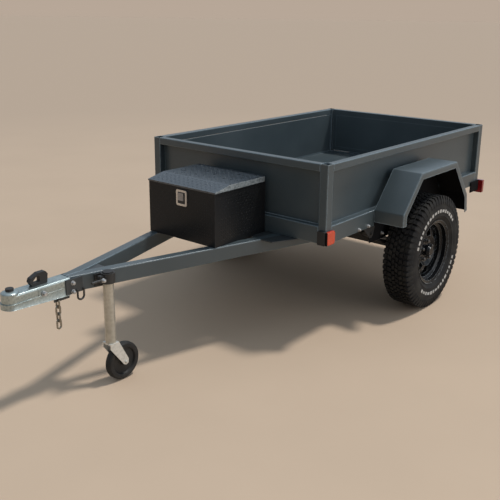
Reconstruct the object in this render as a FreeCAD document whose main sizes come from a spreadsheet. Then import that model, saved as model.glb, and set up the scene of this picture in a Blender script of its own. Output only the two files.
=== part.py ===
import FreeCAD
import Part
import math
import os
import re
import Sketcher

# Single-axle box trailer. X points forward to the coupling, Y to the trailer's left, Z up.
# The origin is on the ground under the middle of the whole length. Sizes are in millimetres.

SIZES = {
    # Box body, measured over the posts and rails
    "body_len": 1868,
    "body_wid": 1240,
    "ride_high": 211,
    "chassis_high": 92,
    "chassis_thick": 40,
    "body_high": 412,
    "post_side": 50,
    "post_wall": 3,
    "rail_side": 40,
    "corner_round": 5,
    "sheet_thick": 2,
    "panel_inset": 38,
    "floor_drop": 8,
    "floor_thick": 3,
    "cross_thick": 40,
    "cross_count": 3,
    "seat_gap": 0.2,
    # Drawbar
    "nose_ahead": 321,
    "drawbar_reach": 1117,
    "drawbar_front_half": 27,
    "drawbar_body_half": 344,
    "drawbar_high": 75,
    "drawbar_thick": 50,
    "drawbar_wall": 4,
    "drawbar_round": 6,
    "drawbar_under": 500,
    "weld_gap": 0.05,
    "gusset_len": 200,
    "gusset_thick": 6,
    # Coupling and its bracket
    "plate_thick": 6,
    "plate_len": 92,
    "plate_lead": 31,
    "channel_half": 38,
    "channel_wall": 4,
    "channel_high": 72,
    "head_high": 43,
    "neck_ahead": 205,
    "ball_radius": 25.5,
    "dome_radius": 38,
    "flange_out": 5,
    "flange_thick": 4,
    "channel_round": 10,
    "seam_ahead": 168,
    "seam_wide": 2,
    "seam_deep": 1.5,
    "dome_rise": 12,
    "cap_radius": 17,
    "cap_high": 9,
    "grip_lead": 103,
    "grip_long": 86,
    "grip_high": 54,
    "grip_bar": 13,
    "grip_wide": 24,
    "grip_round": 4,
    # Safety chain
    "chain_rod": 8,
    "chain_pitch": 33,
    "chain_wide": 28,
    "chain_links": 4,
    "chain_gap": 0.3,
    "eye_lead": 50,
    "eye_drop": 21,
    "eye_border": 12,
    "eye_thick": 6,
    "eye_room": 2,
    "loop_rod": 9,
    "loop_wide": 43,
    "loop_drop": 40,
    "loop_weld": 14,
    # Jockey stand
    "jockey_back": 150,
    "tube_radius": 25,
    "fork_room": 24,
    "clamp_high": 48,
    "clamp_wall": 7,
    "clamp_gap": 0.3,
    "clamp_seat_long": 90,
    "clamp_seat_thick": 8,
    "clamp_lug_long": 26,
    "clamp_lug_wide": 18,
    "clamp_slit": 3,
    "clamp_bolt_radius": 5,
    "lever_long": 58,
    "lever_thick": 6,
    "tube_plug": 26,
    "tube_cap": 5,
    "stem_long": 26,
    "trail": 62,
    "jockey_wheel_radius": 91,
    "jockey_wheel_wide": 38,
    "fork_wall": 5,
    "fork_tip": 15,
    "fork_crown": 8,
    "bolt_end": 7,
    "jockey_web": 8,
    "jockey_tread": 26,
    "jockey_shoulder": 8,
    "jockey_boss": 18,
    "fork_gap": 5,
    "stem_radius": 12,
    "axle_bolt_radius": 6,
    "running_gap": 0.05,
    # Wheels and axle
    "axle_back": 875,
    "tyre_radius": 335,
    "tyre_wide": 178,
    "tyre_gap": 18,
    "tread_half": 65,
    "shoulder_deep": 8,
    "shoulder_wide": 13,
    "bulge_low": 60,
    "bulge_high": 30,
    "casing": 18,
    "bead_casing": 16,
    "rim_flange_radius": 192,
    "rim_seat_radius": 178,
    "rim_wide": 152,
    "rim_wall": 4,
    "rim_lip": 9,
    "rim_curl": 3,
    "bead_front": 25,
    "bead_back": 17,
    "well_deep": 16,
    "well_slope": 8,
    "disc_thick": 6,
    "disc_hump": 34,
    "disc_foot": 14,
    "disc_rise": 14,
    "window_edge": 8,
    "disc_out": 15,
    "bolt_circle": 114.3,
    "window_in": 92,
    "window_out": 144,
    "window_wide": 62,
    "window_count": 8,
    "hub_radius": 38,
    "hub_bore_radius": 33,
    "hub_deep": 70,
    "hub_nose": 42,
    "hub_flange": 10,
    "hub_cap_wall": 5,
    "spindle_radius": 15,
    "beam_side": 45,
    # Mudguards
    "guard_wide": 186,
    "guard_top_up": 506,
    "guard_bend_up": 302,
    "guard_low_up": 231,
    "guard_half_top": 205,
    "guard_half_bend": 388,
    "guard_lip": 38,
    "guard_flange": 24,
    # Leaf springs
    "leaf_wide": 45,
    "leaf_thick": 7,
    "leaf_count": 5,
    "spring_half": 430,
    "spring_rise": 100,
    "spring_inset": 30,
    "beam_pad": 6,
    "clamp_plate": 8,
    "clamp_side": 84,
    "u_bolt_radius": 5,
    "u_bolt_half": 31,
    "u_bolt_end": 14,
    "eye_radius": 16,
    "eye_pin_radius": 8,
    "hanger_wall": 5,
    "hanger_room": 1,
    "hanger_lead": 75,
    "hanger_back": 40,
    "hanger_cheek": 22,
    "hanger_foot": 10,
    "hanger_below": 24,
    "shackle_len": 60,
    "shackle_end": 14,
    "shackle_room": 0.5,
    "pin_end": 9,
    # Tool box
    "box_gap": 8,
    "box_deep": 391,
    "box_wide": 466,
    "box_high": 278,
    "box_wall": 2,
    "lid_over": 4,
    "lid_edge": 8,
    "lid_rise": 23,
    "lid_slope_long": 110,
    "lid_gap": 1.5,
    "lid_pin_radius": 4,
    "lid_hinge_wide": 90,
    "lid_hinge_middle": 30,
    "lid_leaf_high": 36,
    "hinge_play": 0.5,
    "latch_wide": 74,
    "latch_high": 82,
    "latch_thick": 6,
    "latch_round": 10,
    "latch_border": 11,
    "latch_recess": 4,
    "latch_drop": 17,
    "paddle_wide": 34,
    "paddle_high": 40,
    # Lamps
    "marker_long": 70,
    "marker_high": 72,
    "marker_base": 4,
    "marker_round": 16,
    "marker_front_wide": 46,
    "marker_front_deep": 16,
    "marker_behind": 62,
    "lens_deep": 13,
    "lens_round": 5,
    "tail_wide": 88,
    "tail_high": 88,
    "tail_low": 57,
    "tail_out": 38,
    "tail_side_wide": 46,
    "tail_body_deep": 15,
    "tail_round": 6,
    "rear_overhang": 26,
    # Tailgate
    "gate_gap": 6,
    "gate_foot_high": 30,
    "gate_stile": 30,
    "gate_pin_radius": 6,
    "knuckle_wall": 4,
    "knuckle_long": 40,
    "hinge_leaf_thick": 4,
    "hinge_leaf_high": 30,
    "hinge_gap": 0.5,
    "stud_radius": 7,
    "stud_long": 20,
    "ear_side": 34,
    "ear_thick": 4,
    "ear_below": 60,
    "ear_room": 3,
}

doc = FreeCAD.newDocument("box_trailer")
sheet = doc.addObject("Spreadsheet::Sheet", "Sizes")
for row, (alias, amount) in enumerate(SIZES.items(), start=1):
    sheet.set("A%d" % row, alias)
    sheet.set("B%d" % row, str(amount))
    sheet.setAlias("B%d" % row, alias)
doc.recompute()

WORDS = re.compile(r"\b(" + "|".join(sorted(SIZES, key=len, reverse=True)) + r")\b")
nodes = []


# Levels above the ground, worked out from the sizes
LEVELS = {
    "chassis_z": "(tyre_radius + ride_high)",
    "body_top": "(tyre_radius + ride_high + body_high)",
    "guard_top_z": "(tyre_radius + guard_top_up)",
    "guard_bend_z": "(tyre_radius + guard_bend_up)",
    "guard_low_z": "(tyre_radius + guard_low_up)",
    "tube_foot_z": "(2 * jockey_wheel_radius + fork_room)",
}
LEVEL_WORDS = re.compile(r"\b(" + "|".join(LEVELS) + r")\b")


def spell_out(text):
    return LEVEL_WORDS.sub(lambda found: LEVELS[found.group(1)], str(text))


def expand(text):
    """Give each size word in an expression its sheet's name."""
    return WORDS.sub(r"Sizes.\1", spell_out(text))


def number(text):
    """Work out an expression of the sheet's sizes."""
    value = sheet.evalExpression(spell_out(text))
    return float(getattr(value, "Value", value))


def bind(thing, prop, text):
    thing.setExpression(prop, expand(text))


def place(thing, x="0", y="0", z="0"):
    bind(thing, ".Placement.Base.x", x)
    bind(thing, ".Placement.Base.y", y)
    bind(thing, ".Placement.Base.z", z)
    return thing


def node(thing, label):
    """Mark an object as a finished sub-part with its own label."""
    thing.Label = label
    nodes.append(thing)
    return thing


# Places that several sub-parts share
FRONT = "((body_len + rear_overhang - drawbar_reach - nose_ahead) / 2)"
REAR = "(" + FRONT + " - body_len)"
HALF = "(body_wid / 2)"
RAIL_TOP = "(chassis_z + chassis_high)"
AXLE_X = "(" + FRONT + " - axle_back)"
TYRE_Y = "(" + HALF + " + tyre_gap + tyre_wide / 2)"
DRAWBAR_SLOPE = "((drawbar_body_half - drawbar_front_half) / drawbar_reach)"
DRAWBAR_ANGLE = "atan(" + DRAWBAR_SLOPE + ")"
JOCKEY_X = "(" + FRONT + " + drawbar_reach - jockey_back)"
BAR_FACE_AT_JOCKEY = "(drawbar_front_half + " + DRAWBAR_SLOPE + " * jockey_back)"
CLAMP_REACH = "(tube_radius + clamp_wall + 3 * clamp_gap)"
JOCKEY_Y = "(" + BAR_FACE_AT_JOCKEY + " + " + CLAMP_REACH + " / cos(" + DRAWBAR_ANGLE + "))"


def block(name, x, y, z, long, wide, high):
    """A plain box from its low corner and three sizes."""
    made = doc.addObject("Part::Box", name)
    bind(made, "Length", long)
    bind(made, "Width", wide)
    bind(made, "Height", high)
    return place(made, x, y, z)


def rod(name, x, y, z, radius, long, axis):
    """A cylinder that starts at a point and runs along +X, +Y or +Z."""
    made = doc.addObject("Part::Cylinder", name)
    bind(made, "Radius", radius)
    bind(made, "Height", long)
    turns = {
        "X": FreeCAD.Rotation(FreeCAD.Vector(0, 1, 0), 90),
        "Y": FreeCAD.Rotation(FreeCAD.Vector(1, 0, 0), -90),
        "Z": FreeCAD.Rotation(),
    }
    made.Placement = FreeCAD.Placement(FreeCAD.Vector(), turns[axis])
    return place(made, x, y, z)


def cut(name, base, *tools):
    made = doc.addObject("Part::Cut", name)
    made.Base = base
    made.Tool = tools[0] if len(tools) == 1 else join(name + "_tools", *tools)
    return made


def join(name, *shapes):
    made = doc.addObject("Part::MultiFuse", name)
    made.Shapes = list(shapes)
    made.Refine = True
    return made


def group(name, *shapes):
    """Solids that do not touch, kept apart in one node."""
    made = doc.addObject("Part::Compound", name)
    made.Links = list(shapes)
    return made


def mirror(name, source):
    """The same shape on the trailer's other side."""
    made = doc.addObject("Part::Mirroring", name)
    made.Source = source
    made.Normal = FreeCAD.Vector(0, 1, 0)
    return made


def plane(body, role):
    return [f for f in body.Origin.OriginFeatures if f.Role == role][0]


def sketch_on(body, role, name):
    """An empty sketch on one of the body's own origin planes."""
    sketch = body.newObject("Sketcher::SketchObject", name)
    sketch.AttachmentSupport = [(plane(body, role), "")]
    sketch.MapMode = "FlatFace"
    return sketch


def outline(body, name, role, rings):
    """A sketch of closed rings of corners; each corner is held by two sizes from the origin."""
    sketch = sketch_on(body, role, name)
    for ring in rings:
        first = sketch.GeometryCount
        spots = [FreeCAD.Vector(number(a), number(b), 0) for a, b in ring]
        for k, spot in enumerate(spots):
            sketch.addGeometry(Part.LineSegment(spot, spots[(k + 1) % len(spots)]), False)
        for k, (a, b) in enumerate(ring):
            last = first + (k - 1) % len(ring)
            sketch.addConstraint(Sketcher.Constraint("Coincident", last, 2, first + k, 1))
            for kind, text, value in (("DistanceX", a, spots[k].x), ("DistanceY", b, spots[k].y)):
                index = sketch.addConstraint(Sketcher.Constraint(kind, -1, 1, first + k, 1, value))
                bind(sketch, "Constraints[%d]" % index, text)
    return sketch


def pad(body, sketch, long, reverse=False, both_ways=False):
    made = body.newObject("PartDesign::Pad", sketch.Name + "_pad")
    made.Profile = sketch
    made.Reversed = reverse
    made.Midplane = both_ways
    bind(made, "Length", long)
    sketch.Visibility = False
    doc.recompute()
    return made


def new_body(name):
    return doc.addObject("PartDesign::Body", name)


def runs_along(edge, direction):
    if edge.Curve.TypeId != "Part::GeomLine":
        return False
    return abs(edge.tangentAt(edge.FirstParameter).dot(direction)) > 0.999


def round_edges(body, base, picked, radius):
    """Fillet the edges of a solid whose numbers are given."""
    made = body.newObject("PartDesign::Fillet", base.Name + "_round")
    made.Base = (base, ["Edge%d" % k for k in picked])
    bind(made, "Radius", radius)
    doc.recompute()
    return made


def round_along(body, base, direction, radius):
    """Fillet the outer edges of a bar that run along one direction."""
    picked = []
    box = base.Shape.BoundBox
    for k, edge in enumerate(base.Shape.Edges, start=1):
        if not runs_along(edge, direction):
            continue
        spot = edge.CenterOfMass
        sides = [
            abs(v - low) < 1e-4 or abs(v - high) < 1e-4
            for v, low, high, run in (
                (spot.x, box.XMin, box.XMax, direction.x),
                (spot.y, box.YMin, box.YMax, direction.y),
                (spot.z, box.ZMin, box.ZMax, direction.z),
            )
            if abs(run) < 0.5
        ]
        if all(sides):
            picked.append(k)
    return round_edges(body, base, picked, radius)


def round_top(body, base, direction, radius):
    """Fillet the two highest edges that run along one direction."""
    edges = base.Shape.Edges
    along = [k for k, edge in enumerate(edges, start=1) if runs_along(edge, direction)]
    top = max(edges[k - 1].CenterOfMass.z for k in along) - 1e-4
    return round_edges(body, base, [k for k in along if edges[k - 1].CenterOfMass.z > top], radius)


def round_corners(body, base, direction, radius):
    """Fillet every edge that runs along one direction."""
    picked = [k for k, edge in enumerate(base.Shape.Edges, start=1) if runs_along(edge, direction)]
    return round_edges(body, base, picked, radius)


def soften(body, base, direction, radius):
    """Fillet the edges round the face that looks along a direction."""
    reach = [edge.CenterOfMass.dot(direction) for edge in base.Shape.Edges]
    picked = [k for k, far in enumerate(reach, start=1) if far > max(reach) - 1e-4]
    return round_edges(body, base, picked, radius)


def rectangle(wide, high):
    half_w, half_h = "(%s) / 2" % wide, "(%s) / 2" % high
    return [
        ("-" + half_w, "-" + half_h),
        (half_w, "-" + half_h),
        (half_w, half_h),
        ("-" + half_w, half_h),
    ]


AXES = {
    "X": ("YZ_Plane", FreeCAD.Vector(1, 0, 0)),
    "Y": ("XZ_Plane", FreeCAD.Vector(0, 1, 0)),
    "Z": ("XY_Plane", FreeCAD.Vector(0, 0, 1)),
}


def bar(name, axis, x, y, z, wide, high, long, wall=None, rounding="corner_round", dome=None):
    """A section tube or bar with rounded corners, from its section's centre along +axis.

    With a dome, the edges of its far end are rounded too, or of its near end if it runs along X.
    """
    role, direction = AXES[axis]
    body = new_body(name)
    rings = [rectangle(wide, high)]
    if wall:
        rings.append(rectangle("%s - 2 * %s" % (wide, wall), "%s - 2 * %s" % (high, wall)))
    section = outline(body, name + "_section", role, rings)
    made = pad(body, section, long, reverse=(axis == "Y"))
    made = round_along(body, made, direction, rounding)
    if dome:
        soften(body, made, direction if axis == "Y" else -direction, dome)
    return place(body, x, y, z)


# Drawbar: two hollow members that meet on the centre line and run on under the box
def drawbar_member(name, hollow):
    angle = DRAWBAR_ANGLE
    body = new_body(name + "_tube")
    rings = [rectangle("drawbar_thick", "drawbar_high")]
    if hollow:
        rings.append(rectangle("drawbar_thick - 2 * drawbar_wall", "drawbar_high - 2 * drawbar_wall"))
    section = outline(body, name + "_section", "YZ_Plane", rings)
    long = "(drawbar_reach + drawbar_under) / cos(%s) + drawbar_thick" % angle
    made = pad(body, section, long, both_ways=True)
    round_along(body, made, FreeCAD.Vector(1, 0, 0), "drawbar_round")
    body.Placement = FreeCAD.Placement(FreeCAD.Vector(), FreeCAD.Rotation(FreeCAD.Vector(0, 0, 1), 0))
    middle_x = "(drawbar_reach - drawbar_under) / 2"
    middle_y = "drawbar_front_half + %s * (drawbar_reach - %s) - drawbar_thick / 2 / cos(%s)"
    place(
        body,
        FRONT + " + " + middle_x,
        middle_y % (DRAWBAR_SLOPE, middle_x, angle),
        "chassis_z - drawbar_high / 2",
    )
    bind(body, ".Placement.Rotation.Angle", "-" + angle)
    room = block(
        name + "_room",
        FRONT + " - drawbar_under",
        "weld_gap",
        "chassis_z - drawbar_high",
        "drawbar_reach + drawbar_under",
        "body_wid",
        "drawbar_high",
    )
    made = doc.addObject("Part::Common", name)
    made.Base = body
    made.Tool = room
    return made


drawbar_left = node(drawbar_member("drawbar_left", True), "drawbar_left")
node(mirror("drawbar_right", drawbar_left), "drawbar_right")
# The same members without their hollow, to trim the plates that meet them
solid_left = drawbar_member("member_solid", False)
solid_right = mirror("member_solid_right", solid_left)


# A plate closes the top of the V behind the drawbar's point
def drawbar_gusset():
    inner = "(drawbar_front_half + %s * %s - drawbar_thick / 2)"
    wide_end = inner % (DRAWBAR_SLOPE, "gusset_len")
    narrow_end = inner % (DRAWBAR_SLOPE, "gusset_len / 2")
    ring = [
        (FRONT + " + drawbar_reach - gusset_len", "-" + wide_end),
        (FRONT + " + drawbar_reach - gusset_len / 2", "-" + narrow_end),
        (FRONT + " + drawbar_reach - gusset_len / 2", narrow_end),
        (FRONT + " + drawbar_reach - gusset_len", wide_end),
    ]
    body = new_body("gusset_plate")
    pad(body, outline(body, "gusset_outline", "XY_Plane", [ring]), "gusset_thick")
    place(body, "0", "0", "chassis_z - gusset_thick - drawbar_round")
    return cut("drawbar_gusset", body, solid_left, solid_right)


gusset = drawbar_gusset()


# Bracket: two side plates and an end plate welded to the drawbar's point
def coupling_bracket():
    inner = "(channel_half + seat_gap)"
    start = FRONT + " + drawbar_reach + plate_lead - plate_len"
    sides = [
        block(
            "bracket_side_%d" % k,
            start,
            low,
            "chassis_z - drawbar_high",
            "plate_len",
            "plate_thick",
            "drawbar_high - drawbar_round",
        )
        for k, low in enumerate((inner, "-%s - plate_thick" % inner))
    ]
    end = block(
        "bracket_end",
        FRONT + " + drawbar_reach",
        "-" + inner,
        "chassis_z - drawbar_high",
        "plate_thick",
        "2 * " + inner,
        "drawbar_high - drawbar_round",
    )
    return cut("bracket_cut", join("bracket_whole", end, *sides), solid_left, solid_right)


bracket = coupling_bracket()


BALL_X = "(" + FRONT + " + drawbar_reach + nose_ahead - dome_radius - flange_out)"


# Pressed coupling: a channel that runs into a domed head with a round ball socket
def coupling_body():
    top = "(chassis_z - seat_gap)"
    tail = "(" + FRONT + " + drawbar_reach + plate_thick + seat_gap)"
    ball_x = BALL_X
    neck = "(" + FRONT + " + drawbar_reach + neck_ahead)"
    body = new_body("coupling_side")
    rings = [
        [
            (tail, top + " - channel_high"),
            (neck, top + " - head_high"),
            (ball_x, top + " - head_high"),
            (ball_x, top),
            (tail, top),
        ]
    ]
    side = outline(body, "coupling_profile", "XZ_Plane", rings)
    made = pad(body, side, "2 * channel_half", both_ways=True)
    round_top(body, made, FreeCAD.Vector(1, 0, 0), "channel_round")
    floor = top + " - head_high"
    dome = rod("coupling_dome", ball_x, "0", floor, "dome_radius", "head_high", "Z")
    crown = doc.addObject("Part::Ellipsoid", "coupling_crown")
    bind(crown, "Radius1", "dome_rise")
    bind(crown, "Radius2", "dome_radius")
    bind(crown, "Radius3", "dome_radius")
    place(crown, ball_x, "0", top)
    rim = rod("coupling_rim", ball_x, "0", floor, "dome_radius + flange_out", "flange_thick", "Z")
    skirt = block(
        "coupling_skirt",
        neck,
        "-channel_half - flange_out",
        floor,
        ball_x + " - " + neck,
        "2 * (channel_half + flange_out)",
        "flange_thick",
    )
    whole = join("coupling_outer", body, dome, crown, rim, skirt)
    hollow = block(
        "coupling_hollow",
        tail,
        "-channel_half + channel_wall",
        top + " - channel_high",
        ball_x + " - dome_radius - " + tail,
        "2 * channel_half - 2 * channel_wall",
        "channel_high - channel_wall",
    )
    throat = rod("socket_throat", ball_x, "0", floor, "ball_radius", "head_high - ball_radius", "Z")
    cup = doc.addObject("Part::Sphere", "socket_cup")
    bind(cup, "Radius", "ball_radius")
    place(cup, ball_x, "0", top + " - ball_radius")
    seam_x = "(" + FRONT + " + drawbar_reach + seam_ahead)"
    groove = block("seam_groove", seam_x, "-body_wid / 2", "0", "seam_wide", "body_wid", "body_top")
    core = bar(
        "seam_core",
        "X",
        seam_x + " - seam_wide",
        "0",
        top + " - channel_high",
        "2 * channel_half - 2 * seam_deep",
        "2 * channel_high - 2 * seam_deep",
        "3 * seam_wide",
        rounding="channel_round",
    )
    return cut("coupling_body", whole, hollow, throat, cup, cut("seam_ring", groove, core))


node(coupling_body(), "coupling_body")


def coupling_cap():
    """Black cap on the head's crown."""
    whole = rod("cap_whole", BALL_X, "0", "chassis_z", "cap_radius", "dome_rise + cap_high", "Z")
    crown = doc.addObject("Part::Ellipsoid", "cap_seat")
    bind(crown, "Radius1", "dome_rise")
    bind(crown, "Radius2", "dome_radius")
    bind(crown, "Radius3", "dome_radius")
    place(crown, BALL_X, "0", "chassis_z - seat_gap")
    return cut("coupling_cap", whole, crown)


node(coupling_cap(), "coupling_cap")


# Release handle: a black loop grip that stands on the channel
def coupling_handle():
    back = "(" + FRONT + " + drawbar_reach + grip_lead)"
    top = "(chassis_z + seat_gap)"
    heel = "(grip_long * 0.42)"
    shoulder = "(grip_high * 0.68)"
    outer = [
        (back, top),
        (back + " - grip_bar / 3", top + " + grip_high * 0.75"),
        (back + " + grip_bar / 2", top + " + grip_high"),
        (back + " + grip_long / 2", top + " + grip_high"),
        (back + " + grip_long - grip_bar / 2", top + " + " + shoulder),
        (back + " + grip_long", top + " + grip_high * 0.4"),
        (back + " + grip_long - grip_bar", top),
    ]
    inner = [
        (back + " + " + heel, top + " + grip_bar"),
        (back + " + " + heel, top + " + grip_high - grip_bar"),
        (back + " + grip_long / 2 + grip_bar / 2", top + " + grip_high - grip_bar"),
        (back + " + grip_long - grip_bar * 1.3", top + " + " + shoulder + " - grip_bar"),
        (back + " + grip_long - grip_bar * 1.3", top + " + grip_bar"),
    ]
    body = new_body("coupling_handle")
    made = pad(body, outline(body, "handle_outline", "XZ_Plane", [outer, inner]), "grip_wide", both_ways=True)
    round_corners(body, made, FreeCAD.Vector(0, 1, 0), "grip_round")
    return body


node(coupling_handle(), "coupling_handle")


# Chain: links bent from rod, each turned a quarter from the last
CHAIN_FLATS = 8
EYE_CENTRE = "(chassis_z - drawbar_high - eye_drop)"


def chain_link(name, x, y, z, turned, rod_size, pitch, wide):
    """A link that hangs from z, the inside of its top bow; its bar has eight flats."""
    body = new_body(name)
    bend = (number(wide) - number(rod_size)) / 2
    reach = number(pitch) / 2 - (bend - number(rod_size) / 2)
    up, down = FreeCAD.Vector(0, reach, 0), FreeCAD.Vector(0, -reach, 0)
    flat = FreeCAD.Vector(0, 0, 1)
    path = sketch_on(body, "XZ_Plane", name + "_path")
    path.addGeometry(Part.ArcOfCircle(Part.Circle(up, flat, bend), 0, math.pi), False)
    path.addGeometry(
        Part.LineSegment(up + FreeCAD.Vector(-bend, 0, 0), down + FreeCAD.Vector(-bend, 0, 0)),
        False,
    )
    path.addGeometry(Part.ArcOfCircle(Part.Circle(down, flat, bend), math.pi, 2 * math.pi), False)
    path.addGeometry(
        Part.LineSegment(down + FreeCAD.Vector(bend, 0, 0), up + FreeCAD.Vector(bend, 0, 0)),
        False,
    )
    section = sketch_on(body, "XY_Plane", name + "_section")
    corner = number(rod_size) / 2 / math.cos(math.pi / CHAIN_FLATS)
    spots = [
        FreeCAD.Vector(bend + corner * math.cos(turn), corner * math.sin(turn), 0)
        for turn in (math.pi * (2 * k + 1) / CHAIN_FLATS for k in range(CHAIN_FLATS))
    ]
    for k, spot in enumerate(spots):
        section.addGeometry(Part.LineSegment(spot, spots[(k + 1) % CHAIN_FLATS]), False)
    doc.recompute()
    pipe = body.newObject("PartDesign::AdditivePipe", name + "_pipe")
    pipe.Profile = section
    pipe.Spine = path
    doc.recompute()
    if turned:
        body.Placement = FreeCAD.Placement(FreeCAD.Vector(), FreeCAD.Rotation(FreeCAD.Vector(0, 0, 1), 90))
    return place(body, x, y, "%s - %s / 2" % (z, pitch))


def safety_chain():
    x = FRONT + " + drawbar_reach + eye_lead"
    top = "(" + EYE_CENTRE + " - chain_rod / 2 - eye_room / 2)"
    step = "(chain_pitch - chain_gap)"
    return [
        chain_link(
            "chain_link_%d" % k,
            x,
            "0",
            "%s - %d * %s" % (top, k, step),
            k % 2 == 0,
            "chain_rod",
            "chain_pitch",
            "chain_wide",
        )
        for k in range(SIZES["chain_links"])
    ]


def chain_eye():
    """Eye plate under the drawbar's end plate that carries the chain."""
    start = FRONT + " + drawbar_reach - eye_border"
    low = EYE_CENTRE + " - eye_border"
    plate = block(
        "eye_plate",
        start,
        "-eye_thick / 2",
        low,
        "eye_lead + 2.5 * eye_border",
        "eye_thick",
        "eye_drop + eye_border",
    )
    hole_x = FRONT + " + drawbar_reach + eye_lead"
    hole = rod("eye_hole", hole_x, "-eye_thick", EYE_CENTRE, "chain_rod / 2 + eye_room", "2 * eye_thick", "Y")
    return cut("chain_eye", plate, hole)


node(group("safety_chain", *safety_chain()), "safety_chain")
node(join("coupling_bracket", bracket, gusset, chain_eye()), "coupling_bracket")


def drawbar_loop():
    """Bent rod below the bracket's left plate."""
    body = new_body("chain_loop")
    half = (number("loop_wide") - number("loop_rod")) / 2
    foot = number("loop_drop") - number("loop_wide") / 2
    flat = FreeCAD.Vector(0, 0, 1)
    head = number("loop_weld")
    path = sketch_on(body, "XZ_Plane", "loop_path")
    path.addGeometry(Part.LineSegment(FreeCAD.Vector(-half, head, 0), FreeCAD.Vector(-half, -foot, 0)), False)
    bow = Part.Circle(FreeCAD.Vector(0, -foot, 0), flat, half)
    path.addGeometry(Part.ArcOfCircle(bow, math.pi, 2 * math.pi), False)
    path.addGeometry(Part.LineSegment(FreeCAD.Vector(half, -foot, 0), FreeCAD.Vector(half, head, 0)), False)
    section = sketch_on(body, "XY_Plane", "loop_section")
    section.AttachmentOffset = FreeCAD.Placement(FreeCAD.Vector(0, 0, head), FreeCAD.Rotation())
    section.addGeometry(Part.Circle(FreeCAD.Vector(-half, 0, 0), flat, number("loop_rod") / 2), False)
    doc.recompute()
    pipe = body.newObject("PartDesign::AdditivePipe", "loop_pipe")
    pipe.Profile = section
    pipe.Spine = path
    y = "channel_half + 2 * seat_gap + plate_thick + loop_rod / 2"
    x = FRONT + " + drawbar_reach + plate_lead - plate_len + loop_wide / 2"
    return place(body, x, y, "chassis_z - drawbar_high")


node(drawbar_loop(), "chain_loop")


# Jockey stand: a tube held in a clamp on the left member, with a castor wheel below
def jockey_clamp():
    """A split ring on a seat plate, drawn tight by a bolt with a lever."""
    low = "chassis_z - clamp_high"
    ring = rod("clamp_ring", JOCKEY_X, JOCKEY_Y, low, "tube_radius + clamp_gap + clamp_wall", "clamp_high", "Z")
    plate = block(
        "clamp_seat",
        JOCKEY_X + " - clamp_seat_long / 2",
        BAR_FACE_AT_JOCKEY + " + " + DRAWBAR_SLOPE + " * clamp_seat_long / 2 + clamp_gap",
        "chassis_z - drawbar_high + clamp_seat_thick",
        "clamp_seat_long",
        "clamp_seat_thick",
        "drawbar_high - 2 * clamp_seat_thick",
    )
    bind(plate, ".Placement.Rotation.Angle", "-" + DRAWBAR_ANGLE)
    lug_x = JOCKEY_X + " + tube_radius"
    lug_y = JOCKEY_Y + " - clamp_lug_wide / 2"
    lug_z = low + " + clamp_wall"
    lug = block(
        "clamp_lug",
        lug_x,
        lug_y,
        lug_z,
        "clamp_lug_long",
        "clamp_lug_wide",
        "clamp_high - 2 * clamp_wall",
    )
    bolt_x = lug_x + " + clamp_lug_long / 2 + clamp_wall / 2"
    bolt_z = low + " + clamp_high / 2"
    bolt_long = "2 * clamp_lug_wide"
    bolt = rod(
        "clamp_bolt",
        bolt_x,
        JOCKEY_Y + " - clamp_lug_wide",
        bolt_z,
        "clamp_bolt_radius",
        bolt_long,
        "Y",
    )
    lever_y = JOCKEY_Y + " + clamp_lug_wide - lever_thick"
    lever = rod("clamp_lever", bolt_x, lever_y, bolt_z, "lever_thick", "lever_long", "X")
    slide = rod(
        "clamp_bore",
        JOCKEY_X,
        JOCKEY_Y,
        "chassis_z - drawbar_high",
        "tube_radius + clamp_gap",
        "2 * drawbar_high",
        "Z",
    )
    slit = block(
        "clamp_slit_room",
        JOCKEY_X,
        JOCKEY_Y + " - clamp_slit / 2",
        low,
        "2 * tube_radius + clamp_lug_long",
        "clamp_slit",
        "clamp_high",
    )
    held = cut("clamp_split", join("clamp_whole", ring, plate, lug), slide, slit)
    return join("jockey_clamp", held, bolt, lever)


node(jockey_clamp(), "jockey_clamp")


def jockey_tube():
    whole = rod("tube_whole", JOCKEY_X, JOCKEY_Y, "tube_foot_z", "tube_radius", "chassis_z - tube_foot_z", "Z")
    hollow = rod(
        "tube_hollow",
        JOCKEY_X,
        JOCKEY_Y,
        "tube_foot_z + tube_plug",
        "tube_radius - post_wall",
        "chassis_z",
        "Z",
    )
    bore = rod(
        "tube_bore",
        JOCKEY_X,
        JOCKEY_Y,
        "tube_foot_z - 1",
        "stem_radius + running_gap",
        "2 * tube_plug",
        "Z",
    )
    return cut("jockey_tube", whole, hollow, bore)


node(jockey_tube(), "jockey_tube")


def jockey_cap():
    return rod("jockey_cap", JOCKEY_X, JOCKEY_Y, "chassis_z + seat_gap", "tube_radius", "tube_cap", "Z")


node(jockey_cap(), "jockey_cap")

CASTOR_X = "(" + JOCKEY_X + " - trail)"


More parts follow.
